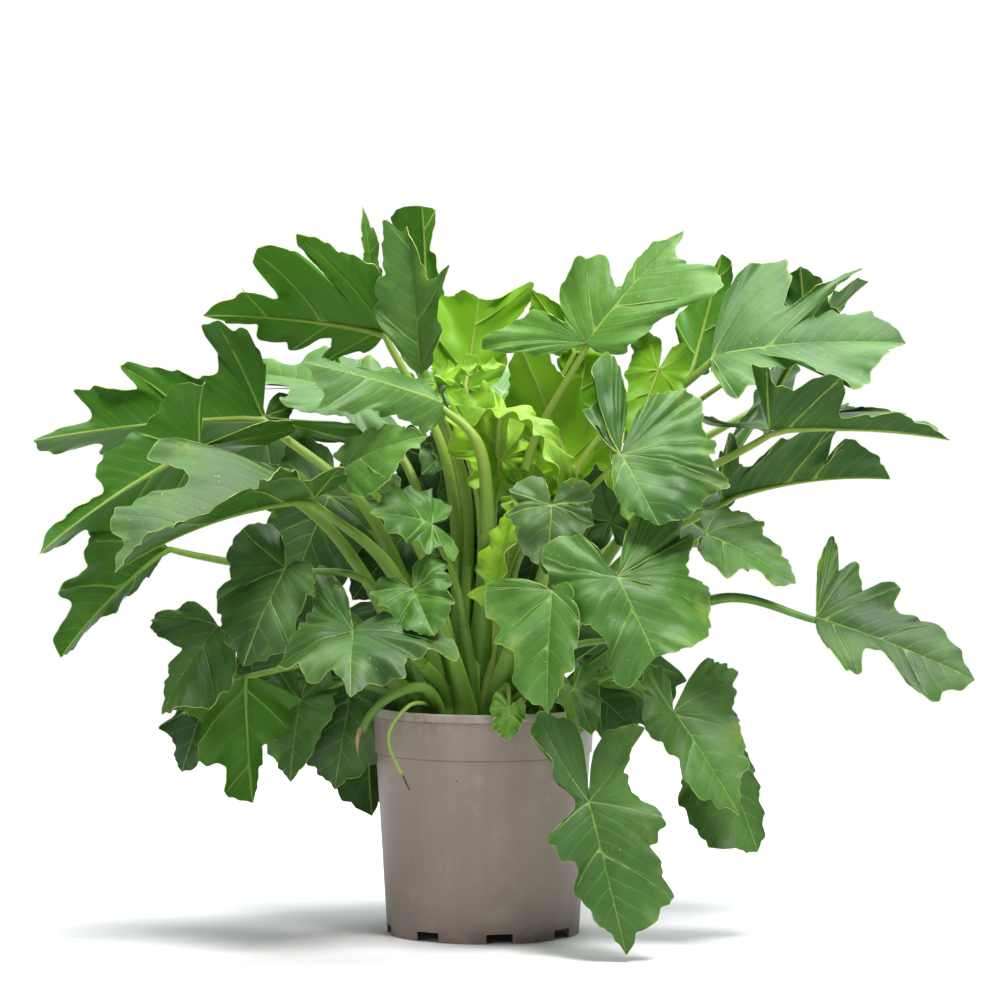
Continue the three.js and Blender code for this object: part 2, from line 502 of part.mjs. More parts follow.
// The blade as a sheet of triangles. Each half runs in columns from the midrib to the margin, and both
// halves meet the midrib at the same stations. The first column is the point at the stalk.
function bladeSheet(frame, halves) {
  const points = [];
  const places = new Map();
  const faces = [];
  const place = (u, v, lift) => {
    const key = Math.round(u * 1e5) + "," + Math.round(v * 1e5);
    if (!places.has(key)) {
      places.set(key, points.length);
      points.push(pointOn(frame, u, v, lift));
    }
    return places.get(key);
  };
  const stations = [...new Set(halves.flat().map(({ foot }) => foot))].sort((a, b) => a - b);
  halves.forEach((columns, half) => {
    const hand = half === 0 ? -1 : 1;
    const grid = columns.map(({ u, v, foot, lift }) =>
      blade.rows.map((t) => place(foot + (u - foot) * t, hand * v * t, lift * t * t)),
    );
    const add = (a, b, c) => {
      if (new Set([a, b, c]).size === 3) faces.push(hand > 0 ? [a, b, c] : [a, c, b]);
    };
    for (let i = 0; i + 1 < grid.length; i++) {
      const between = stations.filter((u) => columns[i].foot <= u && u <= columns[i + 1].foot);
      const midrib = between.map((u) => place(u, 0, 0));
      const beside = grid[Math.max(i, 1)][1];
      midrib.slice(1).forEach((next, k) => add(midrib[k], next, beside));
      if (i === 0) continue;
      add(grid[i + 1][0], grid[i + 1][1], grid[i][1]);
      for (let r = 1; r + 1 < blade.rows.length; r++) {
        add(grid[i][r], grid[i + 1][r], grid[i + 1][r + 1]);
        add(grid[i][r], grid[i + 1][r + 1], grid[i][r + 1]);
      }
    }
  });
  return { points, faces };
}

function sheetNormals({ points, faces }) {
  const normals = points.map(() => new THREE.Vector3());
  for (const [a, b, c] of faces) {
    const first = points[b].clone().sub(points[a]);
    const normal = first.cross(points[c].clone().sub(points[a]));
    for (const corner of [a, b, c]) normals[corner].add(normal);
  }
  return normals.map((n) => n.normalize());
}

// A sheet given its thickness, half to each side, with a rim round its edge
function thickened(sheet, thickness) {
  const { points, faces } = sheet;
  const count = points.length;
  const normals = sheetNormals(sheet);
  const above = points.map((p, i) => p.clone().addScaledVector(normals[i], thickness / 2));
  const below = points.map((p, i) => p.clone().addScaledVector(normals[i], -thickness / 2));
  const edges = new Set(faces.flatMap(([a, b, c]) => [a + "," + b, b + "," + c, c + "," + a]));
  const all = [...faces, ...faces.map(([a, b, c]) => [count + a, count + c, count + b])];
  for (const edge of edges) {
    const [a, b] = edge.split(",").map(Number);
    if (edges.has(b + "," + a)) continue;
    all.push([b, a, count + a], [b, count + a, count + b]);
  }
  return geometryFrom([...above, ...below], all);
}

// A round stem through the given ring centres, each ring with its own radius and its first rings
// level. The rings start from the direction across, so that they don't turn round the stem.
function stemGeometry(centres, radii, across) {
  const { sides, levelRings } = stalk;
  const points = [];
  const faces = [];
  const last = centres.length - 1;
  centres.forEach((centre, i) => {
    const ahead = centres[Math.min(i + 1, last)].clone().sub(centres[Math.max(i - 1, 0)]);
    const tangent = i < levelRings ? up : ahead.normalize();
    const x = across.clone().addScaledVector(tangent, -across.dot(tangent)).normalize();
    const y = tangent.clone().cross(x);
    for (let j = 0; j < sides; j++) {
      const angle = (2 * Math.PI * j) / sides;
      const point = centre.clone().addScaledVector(x, radii[i] * Math.cos(angle));
      points.push(point.addScaledVector(y, radii[i] * Math.sin(angle)));
    }
  });
  for (let i = 0; i < last; i++) {
    for (let j = 0; j < sides; j++) {
      const next = (j + 1) % sides;
      const [a, b] = [i * sides + j, i * sides + next];
      faces.push([a, b, b + sides], [a, b + sides, a + sides]);
    }
  }
  for (let j = 1; j + 1 < sides; j++) {
    faces.push([0, j + 1, j], [last * sides, last * sides + j, last * sides + j + 1]);
  }
  return geometryFrom(points, faces);
}

function bladeLength(leaf) {
  return vector(leaf.tip).distanceTo(vector(leaf.base));
}

function stalkRadii(leaf) {
  const length = bladeLength(leaf);
  const foot = (stalk.footBase + stalk.footShare * length) * (leaf.stout ?? 1);
  return { foot, top: stalk.topBase + stalk.topShare * length };
}

// Where the stalks leave the soil: each on the side of its own leaf, those of the high leaves nearest
// the middle, and all moved apart until none touches another
function rootPoints(rooted) {
  const points = rooted.map(({ base, radius }) => {
    const [x, y, z] = base;
    const out = Math.hypot(x, y);
    const climb = Math.atan2(z - soil.top, out) / (Math.PI / 2);
    const reach = stalk.outermost * (1 - stalk.drawnIn * Math.max(climb, 0));
    return { x: (x / out) * reach, y: (y / out) * reach, radius };
  });
  for (let turn = 0; turn < stalk.turns; turn++) {
    points.forEach((a, i) => {
      for (const b of points.slice(i + 1)) {
        const away = Math.hypot(a.x - b.x, a.y - b.y);
        const push = (a.radius + b.radius + stalk.spacing - away) / 2;
        if (push <= 0) continue;
        const [dx, dy] = [((a.x - b.x) / away) * push, ((a.y - b.y) / away) * push];
        a.x += dx;
        a.y += dy;
        b.x -= dx;
        b.y -= dy;
      }
    });
    for (const point of points) {
      const out = Math.hypot(point.x, point.y);
      const share = Math.min(1, stalk.outermost / out);
      point.x *= share;
      point.y *= share;
    }
  }
  return points;
}

// The ring centres and radii of a leaf's stalk, from inside the soil to the underside of its blade
function stalkRings(leaf, root, frame, change) {
  const lean = new THREE.Vector3(leaf.base[0] - root.x, leaf.base[1] - root.y, 0).normalize();
  const across = new THREE.Vector3(-lean.y, lean.x, 0);
  const foot = new THREE.Vector3(root.x, root.y, soil.top - stalk.sunk);
  const collar = foot.clone().addScaledVector(up, stalk.sunk + stalk.collar);
  const radii = stalkRadii(leaf);
  const under = frame.base.clone().addScaledVector(frame.face, -radii.top - stalk.below);
  const away = collar.distanceTo(under);
  const via = leaf.via ? vector(leaf.via) : collar.clone().lerp(under, stalk.middle);
  if (leaf.via) via.y += (change.step * giveWay.step) / 2;
  else via.addScaledVector(up, stalk.arch * away).addScaledVector(lean, -stalk.tuck * away);
  via.addScaledVector(across, change.bow * giveWay.bow).addScaledVector(up, change.rise * giveWay.rise);
  const curve = new THREE.CatmullRomCurve3([foot, collar, via, under], false, "centripetal");
  const centres = stalk.spots.map((spot) => curve.getPoint(spot / 3));
  const thickness = stalk.taper.map((t) => radii.foot + (radii.top - radii.foot) * t);
  centres.push(pointOn(frame, stalk.under, 0, 0).addScaledVector(frame.face, -stalk.short));
  thickness.push(stalk.point);
  return { centres, radii: thickness, across };
}

function bladeSolid(leaf, halves, step) {
  const frame = bladeFrame(leaf, step * giveWay.step);
  return solidFrom(thickened(bladeSheet(frame, halves), blade.thickness));
}

function stalkSolid(leaf, root, change) {
  const frame = bladeFrame(leaf, change.step * giveWay.step);
  const rings = stalkRings(leaf, root, frame, change);
  const geometry = stemGeometry(rings.centres, rings.radii, rings.across);
  return { solid: solidFrom(geometry), rings };
}

// How far a leaf may give way, the smallest change first
function changes() {
  const all = [];
  for (let step = -giveWay.most; step <= giveWay.most; step++) {
    for (let bow = -giveWay.bows; bow <= giveWay.bows; bow++) {
      for (let rise = -giveWay.rises; rise <= giveWay.rises; rise++) {
        const cost = giveWay.bowCost * Math.abs(bow) + giveWay.riseCost * Math.abs(rise);
        all.push({ step, bow, rise, cost: cost + Math.abs(step) });
      }
    }
  }
  return all.sort((a, b) => a.cost - b.cost);
}

function isClear(solid, others, room) {
  const box = solid.boundingBox();
  return others.every((other) => {
    const near = [0, 1, 2].every(
      (k) => box.min[k] - room < other.box.max[k] && other.box.min[k] < box.max[k] + room,
    );
    return !near || solid.minGap(other.solid, room) >= room;
  });
}

function revolved(profile, sides) {
  const points = profile.map(([r, z]) => new THREE.Vector2(r, z));
  const geometry = new THREE.LatheGeometry(points, sides);
  geometry.rotateX(Math.PI / 2);
  return solidFrom(geometry);
}

function potWallAt(z) {
  return pot.footRadius + ((pot.wallRadius - pot.footRadius) * z) / pot.bandFoot;
}

function buildPot() {
  const { height, wall, floorTop, floorUnder, ledgeTop, ledgeFoot } = pot;
  const outside = [
    [0, 0],
    [pot.padRadius, 0],
    [pot.padRadius, floorUnder],
    [pot.footRadius - wall, floorUnder],
    [pot.footRadius - wall, 0],
    [pot.footRadius, 0],
    [pot.wallRadius, pot.bandFoot],
    [pot.bandFootRadius, pot.bandFoot],
    [pot.bandRadius, pot.bandTop],
    [pot.lipRadius, pot.lipFoot],
    [pot.lipRadius, height],
    [pot.bandRadius - wall, height],
    [pot.bandFootRadius - wall, ledgeTop],
    [pot.wallRadius - wall, ledgeFoot],
    [potWallAt(floorTop) - wall, floorTop],
    [0, floorTop],
  ];
  let solid = revolved(outside, pot.sides);
  const { width, depth, beyond, below } = notch;
  for (let i = 0; i < notch.count; i++) {
    const cut = new THREE.BoxGeometry(width, depth + beyond, notch.height + below);
    cut.translate(0, -(pot.footRadius + (beyond - depth) / 2), (notch.height - below) / 2);
    cut.rotateZ(radians(notch.first + (360 / notch.count) * i));
    solid = solid.subtract(solidFrom(cut));
  }
  return solid;
}

// The soil before the holes for the stalks are made in it
function buildSoilPlug() {
  const { top, gap } = soil;
  const { ledgeTop, ledgeFoot, height, wall } = pot;
  const ledgeRadius = pot.bandFootRadius - wall;
  const share = (top - ledgeTop) / (height - ledgeTop);
  const topRadius = ledgeRadius + (pot.bandRadius - pot.bandFootRadius) * share;
  const outline = [
    [0, pot.floorTop + gap],
    [potWallAt(pot.floorTop) - wall - gap, pot.floorTop + gap],
    [pot.wallRadius - wall - gap, ledgeFoot],
    [ledgeRadius - gap, ledgeTop],
    [topRadius - gap, top],
    [0, top],
  ];
  return revolved(outline, soil.sides);
}

// The hole in the soil for a stem: its upright foot made wider and deeper
function holeFor({ centres, radii, across }) {
  const [bottom, top] = [centres[0].clone(), centres[1]];
  bottom.z -= soil.holeGap;
  const wide = radii.slice(0, 2).map((radius) => radius + soil.holeGap);
  return solidFrom(stemGeometry([bottom, top], wide, across));
}

function bareStemRings(stem, root) {
  const lean = vector(stem.path[0]);
  const across = new THREE.Vector3(-(lean.y - root.y), lean.x - root.x, 0).normalize();
  const foot = new THREE.Vector3(root.x, root.y, soil.top - stalk.sunk);
  const collar = foot.clone().addScaledVector(up, stalk.sunk + stalk.bareCollar);
  const points = [foot, collar, ...stem.path.map(vector)];
  const curve = new THREE.CatmullRomCurve3(points, false, "centripetal");
  const last = points.length - 1;
  const spots = [0];
  for (let spot = 1; spot <= last; spot += 0.5) spots.push(spot);
  const [thick, thin] = stem.radii;
  return {
    centres: spots.map((spot) => curve.getPoint(spot / last)),
    radii: spots.map((spot) => thick + ((thin - thick) * spot) / last),
    across,
  };
}

const group = new THREE.Group();
const placed = [];
const taken = (solid) => placed.push({ solid, box: solid.boundingBox() });

const potSolid = buildPot();
taken(potSolid);
group.add(meshFrom("pot", potSolid, finishes.pot));

let soilSolid = buildSoilPlug();
const soilPlug = [{ solid: soilSolid, box: soilSolid.boundingBox() }];
const rooted = [
  ...leaves.map((leaf) => ({ base: leaf.base, radius: stalkRadii(leaf).foot })),
  ...bareStems.map((stem) => ({ base: stem.path[0], radius: stem.radii[0] })),
];
const roots = rootPoints(rooted);

bareStems.forEach((stem, i) => {
  const rings = bareStemRings(stem, roots[leaves.length + i]);
  const solid = solidFrom(stemGeometry(rings.centres, rings.radii, rings.across));
  taken(solid);
  soilSolid = soilSolid.subtract(holeFor(rings));
  group.add(meshFrom(stem.name, solid, finishes.stem));
});

leaves.forEach((leaf, i) => {
  const random = randomFor(i);
  const halves = [halfOutline(leaf, 0, random), halfOutline(leaf, 1, random)];
  const bladeAt = (step) => {
    const solid = bladeSolid(leaf, halves, step);
    return isClear(solid, placed, blade.room) && isClear(solid, soilPlug, blade.room) ? solid : null;
  };
  const blades = new Map();
  for (const change of changes()) {
    if (!blades.has(change.step)) blades.set(change.step, bladeAt(change.step));
    const flat = blades.get(change.step);
    if (!flat) continue;
    const stem = stalkSolid(leaf, roots[i], change);
    if (!isClear(stem.solid, placed, blade.room)) continue;
    const whole = flat.add(stem.solid);
    taken(whole);
    soilSolid = soilSolid.subtract(holeFor(stem.rings));
    group.add(meshFrom(leaf.name, whole, finishes[leaf.tone ? "young" : "grown"]));
    return;
  }
  throw new Error("no room for the leaf " + leaf.name);
});
group.add(meshFrom("soil", soilSolid, finishes.soil));

export default group;
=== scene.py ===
import math
import random

import bpy
from mathutils import Matrix, Vector, noise
from mathutils.kdtree import KDTree


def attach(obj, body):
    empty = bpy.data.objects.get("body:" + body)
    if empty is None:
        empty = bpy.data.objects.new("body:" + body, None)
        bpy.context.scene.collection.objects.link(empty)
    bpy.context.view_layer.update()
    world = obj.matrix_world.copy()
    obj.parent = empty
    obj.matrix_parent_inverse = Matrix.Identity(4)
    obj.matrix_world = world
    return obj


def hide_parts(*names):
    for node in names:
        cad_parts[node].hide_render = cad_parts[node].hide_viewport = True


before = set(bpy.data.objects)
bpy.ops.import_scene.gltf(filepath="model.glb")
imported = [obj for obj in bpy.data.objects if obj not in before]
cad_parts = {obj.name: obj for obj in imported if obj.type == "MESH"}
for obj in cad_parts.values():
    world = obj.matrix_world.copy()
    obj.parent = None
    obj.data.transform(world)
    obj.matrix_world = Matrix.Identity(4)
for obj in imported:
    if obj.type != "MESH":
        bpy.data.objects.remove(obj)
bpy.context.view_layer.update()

mm = 0.001  # the tables are in millimetres, the scene is in metres
up = Vector((0, 0, 1))


class Wire:  # a node's output: sums, products and comparisons on it add Math nodes
    def __init__(self, finish, socket):
        self.finish = finish
        self.socket = socket

    def maths(self, operation, first, second):
        return self.finish.node("ShaderNodeMath", {"operation": operation}, {0: first, 1: second})

    def __add__(self, other):
        return self.maths("ADD", self, other)

    def __sub__(self, other):
        return self.maths("SUBTRACT", self, other)

    def __rsub__(self, other):
        return self.maths("SUBTRACT", other, self)

    def __mul__(self, other):
        return self.maths("MULTIPLY", self, other)

    def __gt__(self, other):
        return self.maths("GREATER_THAN", self, other)

    __radd__ = __add__
    __rmul__ = __mul__


class Finish:  # a material on its way: node() adds any node and hands back one of its outputs
    def __init__(self, name, settings):
        self.material = bpy.data.materials.new(name)
        self.material.use_nodes = True
        self.nodes = self.material.node_tree.nodes
        self.links = self.material.node_tree.links
        self.shader = self.nodes["Principled BSDF"]
        self.where = self.node("ShaderNodeTexCoord", output="Object")
        self.set(settings)

    def node(self, kind, settings=None, inputs=None, output=0):
        made = self.nodes.new(kind)
        for name, value in (settings or {}).items():
            if name == "stops":
                while len(made.color_ramp.elements) < len(value):
                    made.color_ramp.elements.new(1)
                for stop, (place, colour) in zip(made.color_ramp.elements, value):
                    stop.position = place
                    stop.color = colour
            else:
                setattr(made, name, value)
        for name, value in (inputs or {}).items():
            self.feed(made.inputs[name], value)
        return Wire(self, made.outputs[output])

    def feed(self, socket, value):
        if isinstance(value, Wire):
            self.links.new(value.socket, socket)
        else:
            socket.default_value = value

    def set(self, values):  # what the shader's own sockets hold or are fed
        for name, value in values.items():
            self.feed(self.shader.inputs[name], value)

    def attribute(self, name):
        return self.node("ShaderNodeAttribute", {"attribute_name": name}, output="Fac")

    def noise(self, scale, detail=2.0, roughness=0.5, stretch=None):
        where = self.where
        if stretch:
            where = self.node("ShaderNodeMapping", inputs={"Vector": where, "Scale": stretch})
        sockets = {"Vector": where, "Scale": scale, "Detail": detail, "Roughness": roughness}
        return self.node("ShaderNodeTexNoise", inputs=sockets)

    def step(self, value, low, high):  # 0 below low, 1 above high, smooth between
        sockets = {"Value": value, "From Min": low, "From Max": high}
        return self.node("ShaderNodeMapRange", {"interpolation_type": "SMOOTHSTEP"}, sockets)

    def mix(self, share, first, second):
        return self.node("ShaderNodeMix", {"data_type": "RGBA"}, {0: share, 6: first, 7: second}, 2)

    def cover(self, share, first, second):  # the surface shows two shaders, mixed by the share
        surface = self.nodes["World Output" if "World Output" in self.nodes else "Material Output"]
        mixed = self.node("ShaderNodeMixShader", inputs={0: share, 1: first, 2: second})
        self.feed(surface.inputs["Surface"], mixed)

    def height(self):  # how high a point stands in the object, in metres
        return self.node("ShaderNodeSeparateXYZ", inputs={0: self.where}, output="Z")

    def bump(self, height, distance, strength=1.0):
        sockets = {"Height": height, "Distance": distance, "Strength": strength}
        self.set({"Normal": self.node("ShaderNodeBump", inputs=sockets)})


def paint(red, green, blue):  # a colour from its screen values, 0 to 255
    def linear(value):
        value /= 255
        return value / 12.92 if value <= 0.04045 else ((value + 0.055) / 1.055) ** 2.4

    return (linear(red), linear(green), linear(blue), 1)


def selectOnly(made):
    bpy.ops.object.select_all(action="DESELECT")
    made.select_set(True)
    bpy.context.view_layer.objects.active = made


def editAll(made):  # edit mode with all of the mesh selected
    selectOnly(made)
    bpy.ops.object.mode_set(mode="EDIT")
    bpy.ops.mesh.select_all(action="SELECT")


def facesOut():  # turns the selected faces outwards and leaves edit mode
    bpy.ops.mesh.normals_make_consistent(inside=False)
    bpy.ops.object.mode_set(mode="OBJECT")


def applyAll(made):  # applies the object's modifiers, in their order
    selectOnly(made)
    for modifier in list(made.modifiers):
        bpy.ops.object.modifier_apply(modifier=modifier.name)


def settle(made):  # puts the object's place into its mesh
    selectOnly(made)
    bpy.ops.object.transform_apply(location=True, rotation=True, scale=True)


def smooth(made, degrees):
    selectOnly(made)
    bpy.ops.object.shade_smooth_by_angle(angle=math.radians(degrees))


def joined(pieces, name):
    bpy.ops.object.select_all(action="DESELECT")
    for piece in pieces:
        piece.select_set(True)
    bpy.context.view_layer.objects.active = pieces[0]
    bpy.ops.object.join()
    pieces[0].name = name
    return pieces[0]


def give(made, **values):  # numbers that the materials read: a list, or one for all of the vertices
    for name, numbers in values.items():
        if not isinstance(numbers, list):
            numbers = [numbers] * len(made.data.vertices)
        made.data.attributes.new(name, "FLOAT", "POINT").data.foreach_set("value", numbers)


def dress(made, finishes, slot, *nodes):  # a finished piece: its materials and what it stands for
    for finish in finishes:
        made.data.materials.append(finish.material)
    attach(made, "root")
    if nodes:
        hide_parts(*nodes)


# The pot
pot = {
    "sides": 160,
    "height": 256,
    "lipRadius": 126.4,
    "lipFoot": 247,
    "bandRadius": 124.6,
    "bandTop": 246,
    "bandFoot": 205,
    "bandFootRadius": 122.8,
    "wallRadius": 120.8,
    "footRadius": 108.2,
    "wall": 2.6,
    "ledgeTop": 210,
    "ledgeFoot": 206,
    "floorUnder": 12,
    "floorTop": 15,
    "padRadius": 30,
    "rounding": 0.8,
    "roundingSteps": 2,
    "sharpFrom": 40,
    "smoothTo": 35,
    "streaked": (190, 250),
    "splashed": 35,
    "colours": [paint(127, 112, 102), paint(157, 143, 133)],
    "dust": paint(176, 165, 154),
    "lip": paint(184, 175, 167),
    # the stain colour also paints the shadow lines under the band and under the lip
    "stainAndShadow": paint(84, 70, 58),
    "fleck": paint(62, 46, 36),
}
notch = {"count": 8, "first": -80, "width": 30, "height": 11, "depth": 19, "beyond": 6, "below": 10}


def wallAt(height):  # the wall's outer radius below its band
    return pot["footRadius"] + (pot["wallRadius"] - pot["footRadius"]) * height / pot["bandFoot"]


def turned(name, profile, sides):  # a ring pulled up, in and out along the profile, its ends filled
    radius, height = profile[0]
    place = (0, 0, height * mm)
    bpy.ops.object.select_all(action="DESELECT")
    bpy.ops.mesh.primitive_circle_add(vertices=sides, radius=radius * mm, location=place)
    made = bpy.context.object
    made.name = name
    editAll(made)
    for nextRadius, nextHeight in profile[1:]:
        rise = (0, 0, (nextHeight - height) * mm)
        bpy.ops.mesh.extrude_region_move(TRANSFORM_OT_translate={"value": rise})
        grow = nextRadius / radius
        bpy.ops.transform.resize(value=(grow, grow, 1), center_override=(0, 0, 0))
        radius, height = nextRadius, nextHeight
    bpy.ops.mesh.select_all(action="DESELECT")
    bpy.ops.mesh.select_non_manifold()
    bpy.ops.mesh.fill_holes(sides=0)
    bpy.ops.mesh.select_all(action="SELECT")
    facesOut()
    settle(made)
    return made


def notchCutter(turn):
    long, tall = notch["depth"] + notch["beyond"], notch["height"] + notch["below"]
    out = pot["footRadius"] + (notch["beyond"] - notch["depth"]) / 2
    place = Matrix.Rotation(math.radians(turn), 3, "Z") @ Vector((0, -out, tall / 2 - notch["below"]))
    bpy.ops.object.select_all(action="DESELECT")
    bpy.ops.mesh.primitive_cube_add(size=mm, location=place * mm, rotation=(0, 0, math.radians(turn)))
    cutter = bpy.context.object
    cutter.scale = (notch["width"], long, tall)
    settle(cutter)
    return cutter


def makePot():
    wall = pot["wall"]
    made = turned("nursery_pot", [
        (pot["padRadius"], 0),
        (pot["padRadius"], pot["floorUnder"]),
        (pot["footRadius"] - wall, pot["floorUnder"]),
        (pot["footRadius"] - wall, 0),
        (pot["footRadius"], 0),
        (pot["wallRadius"], pot["bandFoot"]),
        (pot["bandFootRadius"], pot["bandFoot"]),
        (pot["bandRadius"], pot["bandTop"]),
        (pot["lipRadius"], pot["lipFoot"]),
        (pot["lipRadius"], pot["height"]),
        (pot["bandRadius"] - wall, pot["height"]),
        (pot["bandFootRadius"] - wall, pot["ledgeTop"]),
        (pot["wallRadius"] - wall, pot["ledgeFoot"]),
        (wallAt(pot["floorTop"]) - wall, pot["floorTop"]),
    ], pot["sides"])
    turns = [notch["first"] + 360 / notch["count"] * i for i in range(notch["count"])]
    cutter = joined([notchCutter(turn) for turn in turns], "cutter")
    cut = made.modifiers.new("notches", "BOOLEAN")
    cut.object = cutter
    edges = made.modifiers.new("rounding", "BEVEL")
    edges.width = pot["rounding"] * mm
    edges.segments = pot["roundingSteps"]
    edges.angle_limit = math.radians(pot["sharpFrom"])
    applyAll(made)
    bpy.data.objects.remove(cutter)
    smooth(made, pot["smoothTo"])
    return made


def potFinish():
    finish = Finish("potPlastic", {"Specular IOR Level": 0.4})
    height = finish.height()

    def above(low, high):  # 0 below the first height, 1 above the second, in millimetres
        return finish.step(height, low * mm, high * mm)

    def shadowLineUnder(place):  # painted shadow: a dark line just under an edge, where its shade falls
        return above(place - 2.4, place - 0.7) - above(place - 0.2, place + 0.5)

    clouds = finish.noise(9, 3)
    streaks = finish.noise(1, 3, 0.6, (60, 60, 3))
    colour = finish.mix(clouds * 0.5 + streaks * 0.5, *pot["colours"])
    dusty = finish.step(finish.noise(26, 5, 0.7), 0.5, 0.75) * 0.35
    colour = finish.mix(dusty, colour, pot["dust"])
    worn = above(pot["lipFoot"] - 0.6, pot["lipFoot"] + 0.6)
    edge = above(pot["height"] - 2, pot["height"])
    rubbed = finish.step(finish.noise(60, 4), 0.3, 0.6) * 0.4 + 0.1
    colour = finish.mix(worn * rubbed + edge * 0.4, colour, pot["lip"])
    upper = above(*pot["streaked"]) * finish.step(finish.noise(1, 4, 0.7, (45, 45, 9)), 0.45, 0.7)
    lower = (1 - above(0, pot["splashed"])) * finish.step(finish.noise(30, 4), 0.4, 0.65)
    # painted shadow lines under the band and under the lip; they share the stain colour with the real stains
    # above and the splashes below
    paintedShadowLines = shadowLineUnder(pot["bandFoot"]) * 0.55 + shadowLineUnder(pot["lipFoot"]) * 0.4
    colour = finish.mix(upper * 0.3 + lower * 0.5 + paintedShadowLines, colour, pot["stainAndShadow"])
    cells = {"Vector": finish.where, "Scale": 52}
    apart = finish.node("ShaderNodeTexVoronoi", inputs=cells)
    chosen = finish.node("ShaderNodeTexVoronoi", inputs=cells, output="Color")
    flecks = (1 - finish.step(apart, 0.04, 0.08)) * (chosen > 0.5)
    colour = finish.mix(flecks * 0.8, colour, pot["fleck"])
    finish.set({"Base Color": colour, "Roughness": 0.42 + finish.noise(35, 4) * 0.16 + dusty * 0.4})
    scratches = finish.noise(1, 2, 0.5, (30, 30, 700))
    finish.bump(finish.noise(900, 2) * 0.3 + scratches * 0.3 + clouds * 0.4, 0.0004, 0.35)
    return finish


dress(makePot(), [potFinish()], "pot_plastic", "pot")
print("pot")


# The soil, with bark chips lying on it
soil = {
    "top": 244,
    "gap": 0.4,
    "sides": 96,
    "rings": 22,
    "middle": 3,
    "bumps": 3.2,
    "lump": 15,
    "colours": [paint(24, 20, 15), paint(62, 48, 34)],
}
chips = {
    "count": 420,
    "size": (12, 6.5, 2.4),
    "smallest": 0.35,
    "spread": 112,
    "uneven": 0.22,
    "tilt": 0.35,
    "stretch": (0.7, 1.3),
    "colours": [paint(38, 27, 18), paint(104, 74, 46)],
    "seed": 5,
}


def makeSoil():
    wall, gap, top = pot["wall"], soil["gap"], soil["top"]
    share = (top - pot["ledgeTop"]) / (pot["height"] - pot["ledgeTop"])
    edge = pot["bandFootRadius"] - wall - gap + (pot["bandRadius"] - pot["bandFootRadius"]) * share
    profile = [
        (wallAt(pot["floorTop"]) - wall - gap, pot["floorTop"] + gap),
        (pot["wallRadius"] - wall - gap, pot["ledgeFoot"]),
        (pot["bandFootRadius"] - wall - gap, pot["ledgeTop"]),
    ]
    inward = [edge - (edge - soil["middle"]) * i / soil["rings"] for i in range(soil["rings"] + 1)]
    made = turned("soil_bed", profile + [(radius, top) for radius in inward], soil["sides"])
    for vertex in made.data.vertices:
        if vertex.co.z > (top - 1) * mm:
            rough = noise.fractal(vertex.co / (soil["lump"] * mm), 1, 2, 4)
            vertex.co.z += soil["bumps"] * mm * (rough - 0.2)
    smooth(made, 60)
    return made


def makeChips():
    draw = random.Random(chips["seed"])
    bpy.ops.object.select_all(action="DESELECT")
    bpy.ops.mesh.primitive_cube_add(size=mm)
    first = bpy.context.object
    editAll(first)
    bpy.ops.mesh.subdivide(number_cuts=1, smoothness=0.6)
    bpy.ops.object.mode_set(mode="OBJECT")
    made = []
    for _ in range(chips["count"]):
        chip = first.copy()
        chip.data = first.data.copy()
        bpy.context.collection.objects.link(chip)
        for vertex in chip.data.vertices:
            vertex.co *= 1 + chips["uneven"] * draw.uniform(-1, 1)
        size = draw.uniform(chips["smallest"], 1)
        out = chips["spread"] * draw.random() ** 0.5
        turn = draw.uniform(0, 2 * math.pi)
        chip.location = Vector((out * math.cos(turn), out * math.sin(turn), soil["top"] + 1)) * mm
        tilt = chips["tilt"]
        chip.rotation_euler = (draw.gauss(0, tilt), draw.gauss(0, tilt), draw.uniform(0, 7))
        chip.scale = [side * size * draw.uniform(*chips["stretch"]) for side in chips["size"]]
        give(chip, tone=draw.random())
        made.append(chip)
    bpy.data.objects.remove(first)
    made = joined(made, "bark_chips")
    settle(made)
    smooth(made, 40)
    return made


def soilFinish():
    finish = Finish("soilGrain", {"Specular IOR Level": 0.25})
    grain = finish.noise(260, 5, 0.7)
    damp = finish.step(finish.noise(24, 2), 0.35, 0.7)
    finish.set({"Base Color": finish.mix(grain * damp, *soil["colours"]), "Roughness": 0.78 + grain * 0.2})
    finish.bump(grain + finish.noise(90, 3), 0.004)
    return finish


def barkFinish():
    finish = Finish("barkChips", {"Specular IOR Level": 0.3})
    grain = finish.noise(1, 4, 0.7, (120, 700, 700))
    share = finish.attribute("tone") * 0.7 + grain * 0.45 - 0.1
    finish.set({"Base Color": finish.mix(share, *chips["colours"]), "Roughness": 0.65 + grain * 0.3})
    finish.bump(grain, 0.0012)
    return finish


dress(makeSoil(), [soilFinish()], "soil", "soil")
dress(makeChips(), [barkFinish()], "soil")
print("soil and bark chips")


